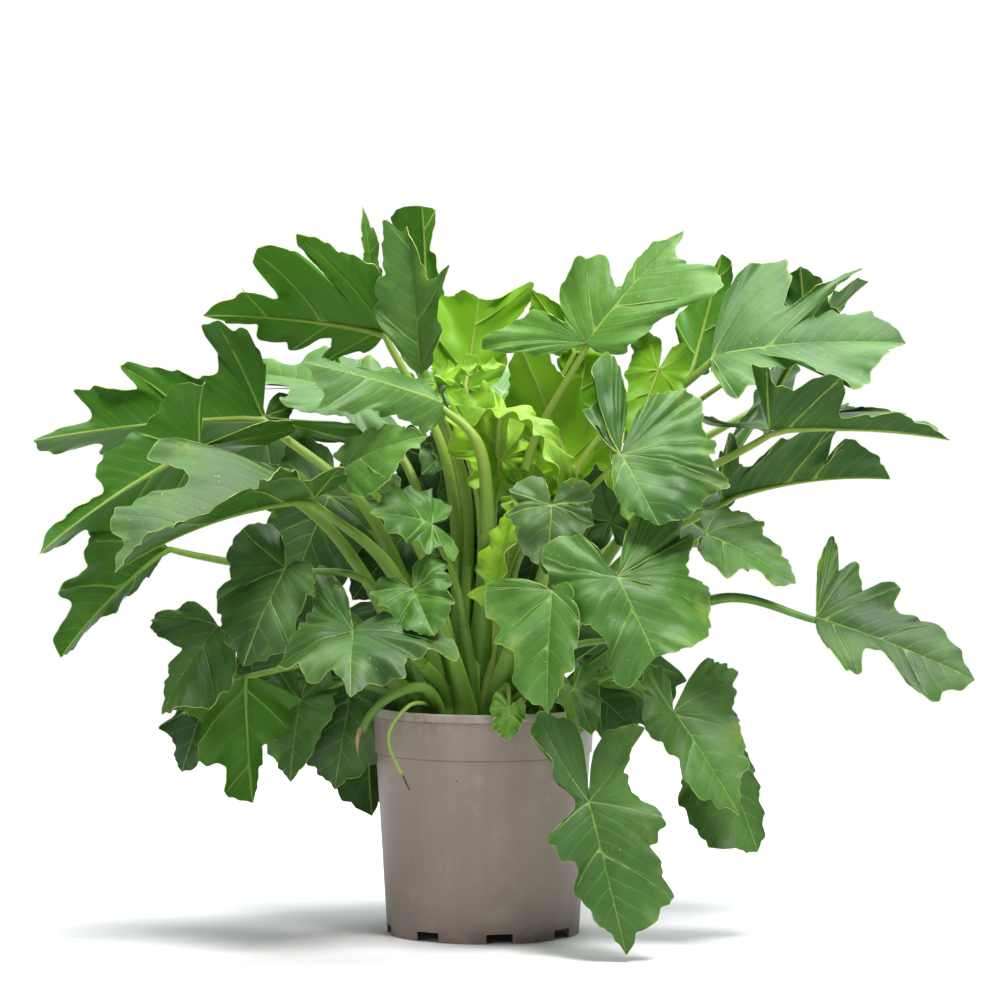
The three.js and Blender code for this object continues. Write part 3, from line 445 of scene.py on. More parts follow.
# The leaves: every stalk rises from the soil, arches and ends under its blade
stalk = {
    "sunk": 14,  # how deep its foot stands in the soil
    "collar": 20,  # how far over the soil it rises straight up
    "bareCollar": 10,
    "bareSamples": 40,
    "dryShrink": 0.45,
    "footBase": 4,  # a radius is its base and its share of the blade's length
    "footShare": 0.025,
    "topBase": 1.6,
    "topShare": 0.011,
    "middle": 0.55,
    "arch": 0.1,
    "tuck": 0.08,
    "below": 1.5,
    "spans": 3,  # the line from foot to blade has three, and spots are places along them
    "spots": (0, 1, 1.6, 2.3, 3),
    "taper": (0, 0.05, 0.4, 0.75, 1),  # how much of the thinning is done at each spot
    "swell": 0.14,
    "swellAt": 0.75,
    "swellWidth": 0.35,
    "sheath": 22,  # how many of the stalk's samples its broad foot takes
    "sheathSides": 12,
    "sheathOpen": 112,  # degrees that it reaches round the stalk on each side
    "sheathGrow": 0.55,
    "sheathDeep": 0.7,
    "sheathWall": 1.6,
    "marginTone": 0.75,
    "samples": 42,
    "ribs": 16,
    "ribRun": (0.03, 0.96),
    "ribTip": 0.35,
    "ribTaper": 0.7,
    "ribSunk": 0.55,
    "veins": (0.95, 0.3),
    "veinRun": 0.94,
    "veinSunk": 0.7,
    "veinSamples": 9,
    "bevel": 4,
}
blade = {  # scallop, ripple, crinkle and sway are sizes, and the same names with an s their spacing
    "thickness": 0.9,
    "curl": 0.6,  # how fast the halves turn down beside the midrib
    "ears": 0.12,
    "wave": 0.05,
    "rows": 11,
    "rowEase": 0.9,
    "spacing": 2.8,
    "lag": 0.22,
    "scallop": 0.036,
    "scallops": 0.21,
    "scallopEase": (5, 7),  # how fast they grow from the notch, and from the tip
    "ripple": 5.5,
    "youngRipple": 8,
    "ripples": 0.2,
    "crinkle": 5,
    "crinkles": 15,
    "sway": 9,
    "sways": 0.3125,
    "pillow": 2.6,  # how far the blade swells between its veins
    "pillowSize": 9,
    "pillowFade": 0.4,
    "young": 0.75,  # the tone above which a leaf is a young one
    "ribSpots": 150,
    "veinSpots": 60,
}
vein = {"slant": 0.9, "stations": 20, "last": 17, "tip": 18}
uneven = {"along": 0.07, "across": 0.25, "lift": 1.2, "leastTurn": -0.002}
# How far a leaf was moved in the frame to clear the others: fitted() finds it among these steps
giveWay = {"step": 7, "most": 12, "bow": 13, "bows": 4, "rise": 14, "rises": 2}

# Half outlines, from the notch round the basal lobe to just before the tip: along and across, in shares
# of the blade's length
outlines = {
    "lacy": [(-0.42, 0.12), (-0.54, 0.27), (-0.15, 0.27), (-0.04, 0.58), (0.14, 0.28), (0.36, 0.6),
             (0.43, 0.5), (0.37, 0.22), (0.66, 0.42), (0.66, 0.16), (0.86, 0.14)],
    "oak": [(-0.46, 0.13), (-0.58, 0.28), (-0.4, 0.44), (-0.1, 0.33), (0.09, 0.5), (0.25, 0.46),
            (0.34, 0.3), (0.54, 0.41), (0.68, 0.22), (0.87, 0.15)],
    "heart": [(-0.36, 0.13), (-0.4, 0.35), (-0.16, 0.49), (0, 0.42), (0.2, 0.48), (0.37, 0.36), (0.6, 0.36)],
    "bud": [(-0.3, 0.15), (-0.28, 0.37), (-0.02, 0.34), (0.18, 0.42), (0.38, 0.29), (0.6, 0.31)],
}

# The halves of the leaves that stand out, left and then right; a half without its own takes its kind's
ownOutlines = {
    "front_broad": [
        [(-0.6, 0.35), (-0.7, 0.67), (-0.61, 0.86), (-0.23, 0.74), (0.11, 0.68), (0.37, 0.53),
         (0.66, 0.42), (0.86, 0.49), (1.19, 0.46)],
        [(-0.49, 0.2), (-0.63, 0.4), (-0.84, 0.83), (-0.48, 1.03), (-0.28, 0.9), (-0.28, 1.17),
         (-0.04, 0.99), (0.19, 0.83), (0.4, 1.02), (0.72, 0.91), (1.03, 0.61)],
    ],
    "front_drop": [
        [(-0.08, 0.2), (-0.09, 0.42), (-0.02, 0.57), (0.16, 0.54), (0.33, 0.41), (0.45, 0.43),
         (0.54, 0.29), (0.75, 0.28)],
        [(-0.06, 0.1), (0.09, 0.2), (0.27, 0.26), (0.46, 0.24), (0.67, 0.18), (0.84, 0.1)],
    ],
    "front_left": [
        [(-0.29, 0.04), (-0.87, 0.14), (-1.2, 0.39), (-0.64, 0.44), (-0.06, 0.6), (0.4, 0.73),
         (0.53, 0.55), (0.72, 0.42), (0.65, 0.21)],
        [(-0.32, 0.24), (-0.35, 0.6), (-0.18, 0.95), (0.14, 1.09), (0.33, 0.9), (0.51, 0.58), (0.8, 0.52),
         (0.77, 0.34)],
    ],
    "left_dark": [
        [(-0.29, 0.2), (-0.43, 0.48), (-0.31, 0.71), (-0.03, 0.72), (0.23, 0.58), (0.47, 0.58),
         (0.76, 0.33)],
        [(-0.1, 0.06), (-0.12, 0.2), (0.11, 0.34), (0.39, 0.28), (0.68, 0.32), (0.9, 0.15)],
    ],
    "front_low": [
        [(-0.26, 0.02), (-0.48, 0.08), (-0.62, 0.34), (-0.53, 0.39), (-0.3, 0.24), (-0.21, 0.24),
         (0, 0.08), (0.19, 0.32), (0.41, 0.17), (0.52, 0.21), (0.81, 0.09)],
        [(-0.28, 0.03), (-0.41, 0.12), (-0.39, 0.37), (-0.28, 0.29), (-0.03, 0.25), (0.22, 0.44),
         (0.34, 0.34), (0.54, 0.35), (0.71, 0.36), (0.84, 0.2)],
    ],
    "right_broad": [
        [(-0.66, 0.22), (-1.24, 0.73), (-1.14, 0.9), (-0.76, 0.64), (-0.73, 0.83), (-0.39, 0.45),
         (-0.02, 0.13), (0.39, 0.29), (0.75, 0.19)],
        [(-0.48, 0.06), (-0.57, 0.39), (-0.37, 0.98), (0, 1.1), (0.27, 1.18), (0.5, 0.96), (0.88, 1.06),
         (0.9, 0.7), (1.06, 0.38)],
    ],
    "right_hanging": [
        [(-0.28, 0.16), (-0.46, 0.44), (-0.35, 0.46), (-0.18, 0.34), (0.13, 0.3), (0.35, 0.21),
         (0.55, 0.26), (0.75, 0.21)],
        [(-0.25, 0.16), (-0.14, 0.54), (-0.03, 0.61), (0.16, 0.49), (0.42, 0.37), (0.65, 0.24),
         (0.83, 0.1)],
    ],
    "far_right": [
        [(0.05, 0.1), (0.22, 0.24), (0.39, 0.29), (0.36, 0.14), (0.44, 0.09), (0.62, 0.2), (0.81, 0.27),
         (0.85, 0.18)],
        [(-0.12, 0.35), (-0.13, 0.58), (0.02, 0.37), (0.09, 0.42), (0.19, 0.26), (0.28, 0.36),
         (0.38, 0.36), (0.43, 0.22), (0.63, 0.23), (0.76, 0.16)],
    ],
    "left_light": [
        [(0.01, 0.12), (0.12, 0.21), (0.2, 0.28), (0.3, 0.35), (0.47, 0.47), (0.56, 0.46), (0.5, 0.24),
         (0.73, 0.25), (0.88, 0.21), (0.92, 0.1)],
        [(-0.08, 0.11), (0.04, 0.38), (0.12, 0.28), (0.26, 0.43), (0.43, 0.59), (0.37, 0.26), (0.5, 0.35),
         (0.68, 0.23), (0.86, 0.32), (0.93, 0.13)],
    ],
    "left_under": [
        None,
        [(-0.14, 0.22), (-0.15, 0.29), (0.01, 0.28), (0.14, 0.22), (0.24, 0.19), (0.51, 0.15),
         (0.5, 0.06), (0.71, 0.06), (0.85, 0.05)],
    ],
    "left_high": [
        None,
        [(-0.01, 0.28), (0.08, 0.39), (0.19, 0.45), (0.24, 0.39), (0.18, 0.26), (0.18, 0.19),
         (0.31, 0.19), (0.45, 0.22), (0.57, 0.25), (0.53, 0.17), (0.77, 0.17), (0.72, 0.06)],
    ],
    "top_left": [
        [(0.07, 0.13), (0.18, 0.19), (0.32, 0.26), (0.26, 0.09), (0.49, 0.18), (0.66, 0.12), (0.73, 0.05),
         (0.87, 0.03)],
        [(0, 0.22), (0.09, 0.41), (0.27, 0.5), (0.43, 0.59), (0.56, 0.59), (0.55, 0.52), (0.36, 0.29),
         (0.33, 0.24), (0.59, 0.46), (0.78, 0.47), (0.75, 0.36), (0.61, 0.17), (0.82, 0.18)],
    ],
    "top_fold": [
        [(0.1, 0.16), (0.31, 0.25), (0.51, 0.22), (0.74, 0.39), (0.64, 0.16), (0.83, 0.08)],
        [(0.05, 0.06), (0.21, 0.16), (0.47, 0.29), (0.61, 0.27), (0.71, 0.2), (0.92, 0.18), (1.08, 0.13),
         (0.96, 0.04)],
    ],
    "top_back": [
        [(0.2, 0.05), (0.45, 0.16), (0.81, 0.2), (0.98, 0.18)],
        [(0.19, 0.08), (0.43, 0.1), (0.66, 0.07), (0.79, 0.05), (0.98, 0.08)],
    ],
    "top_right": [
        [(0, 0.13), (0.16, 0.27), (0.41, 0.3), (0.65, 0.45), (0.77, 0.49), (0.9, 0.36), (0.83, 0.2),
         (0.8, 0.1)],
        [(-0.2, 0.15), (-0.31, 0.32), (-0.42, 0.59), (-0.26, 0.56), (-0.01, 0.43), (0.03, 0.2),
         (0.11, 0.33), (0.21, 0.38), (0.44, 0.35), (0.52, 0.25), (0.4, 0.07), (0.62, 0.08), (0.83, 0.06)],
    ],
    "right_fold": [
        [(-0.03, 0.22), (-0.04, 0.46), (0.03, 0.48), (0.07, 0.35), (0.18, 0.25), (0.28, 0.3),
         (0.41, 0.31), (0.42, 0.13), (0.58, 0.12), (0.74, 0.09)],
        None,
    ],
    "right_side": [
        [(0.04, 0.15), (0.22, 0.5), (0.22, 0.18), (0.43, 0.34), (0.75, 0.36), (0.64, 0.13), (0.78, 0.25),
         (0.94, 0.2)],
        None,
    ],
    "right_top": [
        [(0.03, 0.3), (0.16, 0.55), (0.26, 0.5), (0.4, 0.24), (0.6, 0.42), (0.75, 0.55), (0.82, 0.4)],
        [(0.03, 0.16), (0.11, 0.39), (0.24, 0.5), (0.4, 0.54), (0.41, 0.26), (0.57, 0.36), (0.78, 0.49),
         (0.62, 0.3), (0.53, 0.18), (0.85, 0.15)],
    ],
    "low_left": [
        [(-0.08, 0.19), (-0.08, 0.41), (0.13, 0.66), (0.23, 0.63), (0.36, 0.37), (0.37, 0.16),
         (0.62, 0.13), (0.83, 0.06)],
        [(0.14, 0.33), (0.43, 0.56), (0.74, 0.51), (0.91, 0.25)],
    ],
    "low_left_back": [
        [(0.05, 0.18), (0.2, 0.43), (0.45, 0.36), (0.51, 0.18), (0.75, 0.11)],
        [(-0.02, 0.07), (0.01, 0.19), (0.05, 0.37), (0.21, 0.59), (0.29, 0.37), (0.43, 0.36),
         (0.52, 0.42), (0.67, 0.34), (0.69, 0.2), (0.9, 0.2)],
    ],
    "right_lower": [
        [(0.13, 0.26), (0.34, 0.39), (0.57, 0.4), (0.67, 0.24), (0.86, 0.15)],
        [(-0.19, 0.18), (-0.15, 0.39), (0.07, 0.41), (0.31, 0.41), (0.45, 0.23), (0.73, 0.2)],
    ],
    "left_outer": [
        [(0.11, 0.08), (0.24, 0.13), (0.41, 0.16), (0.64, 0.11), (0.83, 0.1)],
        [(0.07, 0.18), (0.19, 0.36), (0.41, 0.46), (0.51, 0.4), (0.79, 0.43), (0.77, 0.24), (0.94, 0.17)],
    ],
    "low_right_back": [
        [(-0.05, 0.14), (0.2, 0.46), (0.56, 0.53), (0.78, 0.5), (0.94, 0.24)],
        [(-0.01, 0.1), (0.08, 0.21), (0.35, 0.24), (0.67, 0.16), (0.9, 0.09)],
    ],
    "pale_left": [
        [(-0.1, 0.11), (0.11, 0.41), (0.34, 0.52), (0.66, 0.51), (0.78, 0.35)],
        [(-0.18, 0.24), (-0.02, 0.33), (0.33, 0.32), (0.51, 0.23), (0.78, 0.14)],
    ],
    "arch_left": [
        [(-0.11, 0.34), (-0.07, 0.52), (0.23, 0.35), (0.57, 0.12), (0.78, 0.14)],
        [(-0.04, 0.08), (0.1, 0.24), (0.2, 0.18), (0.62, 0.29), (0.84, 0.31), (0.86, 0.15)],
    ],
    "top_bright": [
        [(-0.11, 0.14), (-0.02, 0.31), (0.3, 0.43), (0.48, 0.36), (0.67, 0.53), (0.85, 0.52),
         (0.99, 0.32), (1.05, 0.13)],
        [(-0.05, 0.19), (0.23, 0.38), (0.47, 0.37), (0.58, 0.3), (0.95, 0.52), (1.24, 0.56), (1.15, 0.38),
         (1.01, 0.17)],
    ],
    "right_pale": [
        [(0.04, 0.14), (0.21, 0.15), (0.39, 0.23), (0.55, 0.15), (0.64, 0.06), (0.85, 0.05)],
        [(0.04, 0.11), (0.22, 0.15), (0.41, 0.18), (0.58, 0.2), (0.77, 0.13), (0.95, 0.12)],
    ],
}


# Base is where the stalk meets the blade, tip the blade's point and face the way its upper side looks.
# Bend and fold are degrees, and tone runs from dark and grown to bright and young. Some leaves also have
# a kind of outline and how wide its halves are, a lean of the lobes, a stout foot, a point that the stalk
# passes on its way, or a ruffle or pillow of their own.
def leafRow(name, base, tip, face, bend, fold, tone, **more):
    return dict(name=name, base=base, tip=tip, face=face, bend=bend, fold=fold, tone=tone, **more)


leaves = [
    leafRow("front_broad", (145, -235, 415), (185, -260, 330), (0.1, -1, 0.3), 20, -4, 0.42, lean=0.35,
            stout=1.3),
    leafRow("front_drop", (75, -225, 400), (70, -255, 270), (-0.25, -1, 0.3), 24, 14, 0.45, stout=1.45),
    leafRow("front_left", (-140, -205, 355), (-140, -290, 290), (-0.1, -0.75, 0.65), 30, 4, 0.2,
            stout=1.55),
    leafRow("left_dark", (-215, -150, 420), (-260, -185, 315), (-0.35, -0.9, 0.3), 22, -6, 0.15),
    leafRow("front_low", (115, -215, 170), (155, -250, 8), (0.05, -0.95, 0.25), 14, 10, 0.3, lean=0.25,
            via=(85, -160, 292)),
    leafRow("right_broad", (150, -190, 545), (190, -225, 470), (0.1, -0.95, 0.3), 16, 8, 0.3, lean=0.95,
            pillow=0.4),
    leafRow("right_hanging", (210, -120, 260), (280, -165, 150), (0.3, -0.9, 0.3), 18, 8, 0.4, lean=1),
    leafRow("far_right", (365, -150, 365), (535, -190, 300), (0.15, -0.85, 0.5), 18, 10, 0.15,
            via=(262, -125, 385)),
    leafRow("left_light", (-185, -130, 495), (-395, -235, 420), (-0.1, -0.26, 0.96), 30, 40, 0.3,
            stout=1.25),
    leafRow("left_under", (-315, -60, 550), (-485, -150, 435), (-0.2, 0.85, 0.5), 26, 30, 0.45,
            kind="lacy"),
    leafRow("left_high", (-250, -20, 580), (-505, -70, 555), (-0.05, 0.85, 0.5), 18, 32, 0.5, kind="lacy",
            wide=(1, 1.05)),
    leafRow("top_left", (-110, 30, 675), (-315, 0, 695), (0.05, 0.8, 0.6), 22, 4, 0.6),
    leafRow("top_fold", (-70, -20, 630), (-85, -35, 795), (-0.5, -0.8, 0.2), -10, 24, 0.5),
    leafRow("top_back", (-65, 60, 630), (-70, 75, 820), (0.3, 0.85, 0.3), 16, 6, 0.55),
    leafRow("top_bright", (-20, 25, 615), (-5, 40, 715), (0.1, 0.95, 0.3), 14, 6, 0.9),
    leafRow("top_right", (115, -60, 665), (225, -20, 790), (0.1, -0.7, 0.7), 24, 10, 0.6),
    leafRow("right_pale", (235, 20, 630), (270, 45, 765), (0.25, 0.9, 0.35), 18, 6, 0.6),
    leafRow("right_top", (255, -40, 650), (470, -60, 665), (0, -0.6, 0.8), 20, 20, 0.35),
    leafRow("right_fold", (315, -90, 570), (510, -125, 560), (0, 0.35, 0.94), 16, 40, 0.25, kind="lacy",
            wide=(1.15, 1.1)),
    leafRow("right_side", (265, -60, 490), (450, -110, 515), (0, 0.3, 0.95), 24, 34, 0.25, kind="lacy",
            wide=(1.1, 1.1)),
    leafRow("right_back", (335, 150, 605), (450, 210, 735), (-0.2, 0.4, 0.9), 24, 10, 0.4, kind="lacy"),
    leafRow("right_lower", (245, -120, 455), (340, -190, 405), (0.35, -0.75, 0.55), 20, 14, 0.3),
    leafRow("arch_left", (-45, -110, 600), (-195, -165, 645), (-0.2, -0.7, 0.65), 12, -24, 0.4,
            stout=1.35, via=(-4, -125, 552)),
    leafRow("pale_left", (-150, -120, 530), (-60, -170, 565), (-0.1, -0.7, 0.7), 24, 8, 0.5, stout=1.4),
    leafRow("centre_small", (-56, -150, 468), (-122, -192, 482), (0.05, -0.8, 0.6), 24, 10, 0.4,
            kind="heart", wide=(1.35, 1.1)),
    leafRow("centre_ears", (-76, -168, 398), (-52, -208, 350), (-0.1, -0.9, 0.4), 20, 16, 0.45,
            kind="heart", wide=(1.3, 1.3), stout=1.6),
    leafRow("low_left", (-295, -60, 350), (-355, -105, 255), (-0.45, -0.8, 0.4), 24, 12, 0.25),
    leafRow("low_left_back", (-265, -95, 295), (-255, -110, 155), (-0.35, 0.9, 0.2), 16, 10, 0.5,
            via=(-150, -55, 310)),
    leafRow("low_left_inner", (-205, -60, 265), (-215, -85, 175), (-0.3, -0.9, 0.2), 14, 8, 0.35,
            kind="heart", wide=(0.9, 0.9), via=(-125, -40, 292)),
    leafRow("low_left_pot", (-132, 70, 250), (-128, 78, 122), (-0.4, 0.9, 0.1), 10, 10, 0.3, kind="heart",
            wide=(0.9, 1.35), via=(-106, 56, 286)),
    leafRow("left_outer", (-355, 20, 435), (-470, -45, 315), (-0.5, 0.65, 0.55), 22, 10, 0.4),
    leafRow("low_right_back", (260, -60, 215), (305, -85, 100), (0.45, -0.85, 0.2), 12, 8, 0.3,
            via=(155, -42, 282)),
    leafRow("rim_crumpled", (30, -130, 265), (25, -150, 230), (0.1, -0.9, 0.4), 16, 10, 0.75, kind="bud",
            wide=(1.3, 1.3), via=(27, -104, 288), ruffle=1.5),
    leafRow("under_right", (100, -120, 285), (120, -150, 235), (0.3, -0.9, 0.2), 16, 8, 0.45,
            kind="heart"),
    leafRow("young_tall", (95, 10, 530), (40, 25, 665), (0.2, 0.9, 0.3), 18, 4, 1, kind="oak"),
    leafRow("young_curl", (20, -25, 535), (-40, -60, 610), (0.1, -0.8, 0.55), 40, 12, 1, kind="bud",
            wide=(1.1, 1.4), ruffle=1.4),
    leafRow("young_side", (45, -80, 500), (110, -95, 505), (0, -0.75, 0.65), 30, 8, 0.95, kind="bud",
            ruffle=1.5),
    leafRow("young_furled", (15, -70, 400), (35, -80, 485), (-0.5, -0.8, 0.1), 12, 40, 1, kind="bud",
            wide=(0.7, 0.7), ruffle=1.2),
    leafRow("dark_middle", (75, -120, 490), (70, -140, 415), (0.05, -0.95, 0.25), 16, 4, 0.1,
            kind="heart", wide=(1.2, 1.2)),
    leafRow("dark_fold", (140, -140, 470), (125, -150, 535), (-0.6, -0.75, 0.2), 12, 26, 0.2,
            kind="heart", wide=(0.9, 0.9)),
    leafRow("bright_lobe", (195, -60, 635), (165, -95, 555), (0.1, 0.85, 0.4), 16, 6, 0.9, kind="heart",
            wide=(0.8, 0.8)),
    leafRow("dark_inner", (-20, 40, 560), (-70, 20, 515), (-0.2, -0.9, 0.3), 18, 12, 0.15, kind="heart",
            wide=(0.9, 0.9)),
    leafRow("left_inner", (-252, 130, 580), (-252, 118, 522), (0, -0.95, 0.3), 12, 6, 0.2, kind="heart",
            wide=(1.1, 1.1)),
    leafRow("young_back", (-5, 60, 600), (-60, 90, 635), (0, 0.5, 0.8), 24, 10, 0.9, kind="oak",
            ruffle=1.2),
    leafRow("back_broad", (60, 190, 480), (95, 270, 380), (0.1, 0.9, 0.4), 24, 8, 0.35, kind="oak",
            wide=(1.1, 1.1)),
    leafRow("back_left", (-125, 180, 500), (-200, 290, 430), (-0.3, 0.8, 0.5), 22, 12, 0.3, kind="oak",
            wide=(1, 1.1)),
    leafRow("back_right", (215, 190, 470), (315, 280, 390), (0.4, 0.7, 0.5), 24, 10, 0.35, kind="oak",
            wide=(1.1, 1)),
    leafRow("back_low", (-40, 205, 330), (-60, 265, 210), (0, 0.95, 0.3), 20, 8, 0.25, kind="heart",
            wide=(1.1, 1)),
    leafRow("back_low_right", (150, 190, 320), (205, 245, 205), (0.4, 0.9, 0.2), 18, 10, 0.3,
            kind="heart"),
    leafRow("back_low_left", (-190, 140, 330), (-265, 190, 225), (-0.5, 0.8, 0.3), 20, 8, 0.3,
            kind="heart", wide=(1, 1.1)),
    leafRow("back_high", (15, 150, 590), (45, 310, 620), (0, -0.4, 0.9), 26, 14, 0.5, kind="lacy"),
    leafRow("back_high_left", (-150, 150, 600), (-290, 250, 625), (-0.3, -0.2, 0.9), 26, 14, 0.45,
            kind="oak"),
    leafRow("back_far", (70, 265, 545), (110, 420, 480), (0, 0.4, 0.9), 24, 12, 0.35, kind="lacy"),
    leafRow("back_hanging", (35, 205, 200), (55, 245, 60), (0, 0.95, 0.25), 16, 10, 0.3, kind="oak",
            wide=(0.9, 0.9), via=(25, 150, 295)),
    leafRow("dark_left", (-175, 90, 490), (-222, 70, 372), (-0.1, -0.95, 0.35), 20, 8, 0.1, kind="heart",
            wide=(1.15, 1.25)),
    leafRow("dark_centre", (-60, 108, 530), (-72, 126, 445), (0, 0.95, 0.2), 18, 10, 0.15, kind="heart"),
]

# Leaves deep in the plant and the crumpled youngest ones, with the place of each stalk's foot. The deep
# ones' low tones paint shade: they darken the plant's middle.
innerLeaves = [
    leafRow("inner_left", (-89, 60, 446), (-149, 48, 372), (-0.2, -0.9, 0.3), 16, 8, 0.08, kind="heart",
            root=(-40, 40), wide=(1.2, 1.2)),
    leafRow("inner_middle", (-43, 75, 468), (-97, 63, 394), (-0.1, -0.9, 0.3), 16, 8, 0.12, kind="heart",
            root=(-25, 50), wide=(1.1, 1.1)),
    leafRow("inner_low_middle", (-23, 80, 433), (-32, 75, 325), (0, -0.95, 0.2), 12, 6, 0.05,
            kind="heart", root=(-10, 60), wide=(1.1, 1.1)),
    leafRow("inner_high_middle", (-17, 62, 545), (-13, 55, 454), (0.1, -0.95, 0.2), 12, 6, 0.4,
            kind="heart", root=(-5, 70), wide=(1, 1)),
    leafRow("inner_bright", (106, 70, 593), (124, 58, 681), (0, 0.9, 0.3), 14, 6, 0.85, kind="oak",
            root=(40, 50), wide=(1, 1)),
    leafRow("inner_dark", (64, 40, 441), (42, 28, 368), (0.1, -0.95, 0.25), 14, 6, 0.05, kind="heart",
            root=(30, 40), wide=(1.2, 1.2)),
    leafRow("inner_rim", (120, -40, 277), (175, -52, 227), (0.2, -0.9, 0.4), 16, 8, 0.25, kind="heart",
            root=(70, -30), wide=(1.1, 1.1)),
    leafRow("inner_low", (-148, 0, 274), (-167, -12, 162), (-0.2, -0.95, 0.2), 14, 6, 0.08, kind="heart",
            root=(-95, 0), wide=(1.3, 1.2)),
    leafRow("inner_outer", (-310, 0, 268), (-339, -12, 182), (-0.2, -0.9, 0.3), 16, 8, 0.1, kind="oak",
            root=(-90, -20), wide=(1, 1)),
    leafRow("inner_right", (370, 120, 679), (363, 108, 752), (0, 0.9, 0.3), 14, 6, 0.3, kind="heart",
            root=(60, 60), wide=(1.2, 1.2)),
    leafRow("inner_thin", (-126, 40, 724), (-136, 28, 818), (0.3, -0.9, 0.2), 24, 14, 0.55, kind="bud",
            root=(-30, 60), wide=(0.35, 0.35)),
    leafRow("inner_top", (104, 60, 654), (53, 48, 727), (0, 0.9, 0.3), 14, 6, 0.9, kind="bud",
            root=(30, 60), wide=(0.7, 0.7)),
    leafRow("crumpled_tall", (19, -80, 589), (81, -92, 492), (0.4, -0.5, 0.8), 110, 14, 1, kind="bud",
            root=(12, -40), wide=(0.5, 0.5), ruffle=2),
    leafRow("crumpled_side", (59, -92, 492), (121, -104, 508), (0, -0.6, 0.8), 24, 8, 1, kind="bud",
            root=(22, -50), wide=(0.6, 0.6), ruffle=2),
    leafRow("crumpled_top", (-52, -62, 620), (26, -74, 640), (0, -0.5, 0.85), 30, 8, 0.95, kind="bud",
            root=(-10, -45), wide=(0.5, 0.5), ruffle=1.8),
]
bareStems = [
    dict(name="cut_stem", radii=(7.5, 3.8), tone=0.3, dry=0.93,
         path=[(-66, -92, 284), (-104, -92, 273), (-127, -92, 250), (-135, -92, 228)]),
    dict(name="thin_runner", radii=(2.6, 1.6), tone=0.95, dry=0.9,
         path=[(-80, -108, 266), (-104, -108, 232), (-81, -114, 172)]),
]


def onCurve(points, share):  # a point of the spline through the points, share running from 0 to 1
    at = (len(points) - 1) * share
    i = min(int(at), len(points) - 2)
    weight = at - i
    before = points[i - 1] if i > 0 else 2 * points[0] - points[1]
    after = points[i + 2] if i + 2 < len(points) else 2 * points[-1] - points[-2]
    here, there = points[i], points[i + 1]
    gaps = [(b - a).length ** 0.5 for a, b in ((before, here), (here, there), (there, after))]
    ahead = (there - here) / gaps[1]
    start = ((here - before) / gaps[0] - (there - before) / (gaps[0] + gaps[1]) + ahead) * gaps[1]
    end = (ahead - (after - here) / (gaps[1] + gaps[2]) + (after - there) / gaps[2]) * gaps[1]
    square = 3 * (there - here) - 2 * start - end
    cube = 2 * (here - there) + start + end
    return here + start * weight + square * weight ** 2 + cube * weight ** 3


def treeOf(points):  # finds the nearest of the points
    tree = KDTree(len(points))
    for i, point in enumerate(points):
        tree.insert(point, i)
    tree.balance()
    return tree


def inFrame(name):  # the corners of the frame's leaf or stem, and the middle of its foot in the soil
    corners = [vertex.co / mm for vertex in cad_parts[name].data.vertices]
    ring = [corner for corner in corners if abs(corner.z - (soil["top"] - stalk["sunk"])) < 0.01]
    return corners, sum(ring, Vector()) / len(ring)


def unrest(x, y, z):  # smooth random numbers between -1 and 1
    return noise.noise(Vector((x, y, z)))


def drawsFor(place):  # each leaf's own unevenness, the same one as in the frame
    state = (place + 1) * 2654435761 & 0xFFFFFFFF
    while True:
        state = (state * 1664525 + 1013904223) & 0xFFFFFFFF
        yield state / 4294967296


def halfOutline(leaf, half, draw):  # columns from a foot on the midrib to the margin: u, v, foot, lift
    own = ownOutlines.get(leaf["name"], [None, None])[half]
    rows = own or outlines[leaf["kind"]]
    wide = 1 if own or "wide" not in leaf else leaf["wide"][half]
    draws = [[next(draw) - 0.5 for _ in range(3)] for _ in rows]
    for share in [0] if own else [1, 0.6, 0.3, 0]:
        columns = [(0, 0, 0, 0)]
        for (u, v), (first, second, third) in zip(rows, draws):
            along = u + uneven["along"] * share * first
            across = v * wide * (1 + uneven["across"] * share * second)
            station = min(vein["last"], math.floor((along - vein["slant"] * across) * vein["stations"]))
            foot = max(columns[-1][2], station / vein["stations"])
            columns.append((along, across, foot, uneven["lift"] * third))
        columns.append((1, 0, vein["tip"] / vein["stations"], 0))
        turns = [
            (here[0] - here[2]) * there[1] - (there[0] - here[2]) * here[1]
            for here, there in zip(columns[1:], columns[2:])
        ]
        if share == 0 or max(turns) < uneven["leastTurn"]:
            return columns


class Sheet:  # a blade's bent sheet: at() gives the point at u along its midrib and v to its right
    def __init__(self, leaf, shift):
        chord = Vector(leaf["tip"]) - Vector(leaf["base"])
        half = math.radians(leaf["bend"]) / 2
        along = chord.normalized()
        self.base = Vector(leaf["base"]) + Vector((0, shift, 0))
        self.side = Vector(leaf["face"]).cross(along).normalized()
        face = along.cross(self.side)
        self.along = along * math.cos(half) + face * math.sin(half)
        self.face = face * math.cos(half) - along * math.sin(half)
        self.length = chord.length * half / math.sin(half)
        self.bend = 2 * half
        self.fold = math.radians(leaf["fold"])
        self.lean = leaf.get("lean", 0)

    def at(self, u, v, raised):
        if u >= 0:
            angle = self.bend * u
            forth, back = math.sin(angle), 1 - math.cos(angle)
            middle = (self.along * forth - self.face * back) * (self.length / self.bend)
            face = self.face * math.cos(angle) + self.along * math.sin(angle)
        else:
            middle = (self.along * u + self.face * (blade["ears"] * u * u)) * self.length
            face = (self.face - self.along * (2 * blade["ears"] * u)).normalized()
        across = v - self.lean * min(u, 0)
        end = self.fold - blade["curl"] * abs(across)
        out = math.copysign(math.sin(self.fold) - math.sin(end), across) / blade["curl"]
        rise = (math.cos(end) - math.cos(self.fold)) / blade["curl"]
        return self.base + middle + self.side * (out * self.length) + face * (rise * self.length + raised)


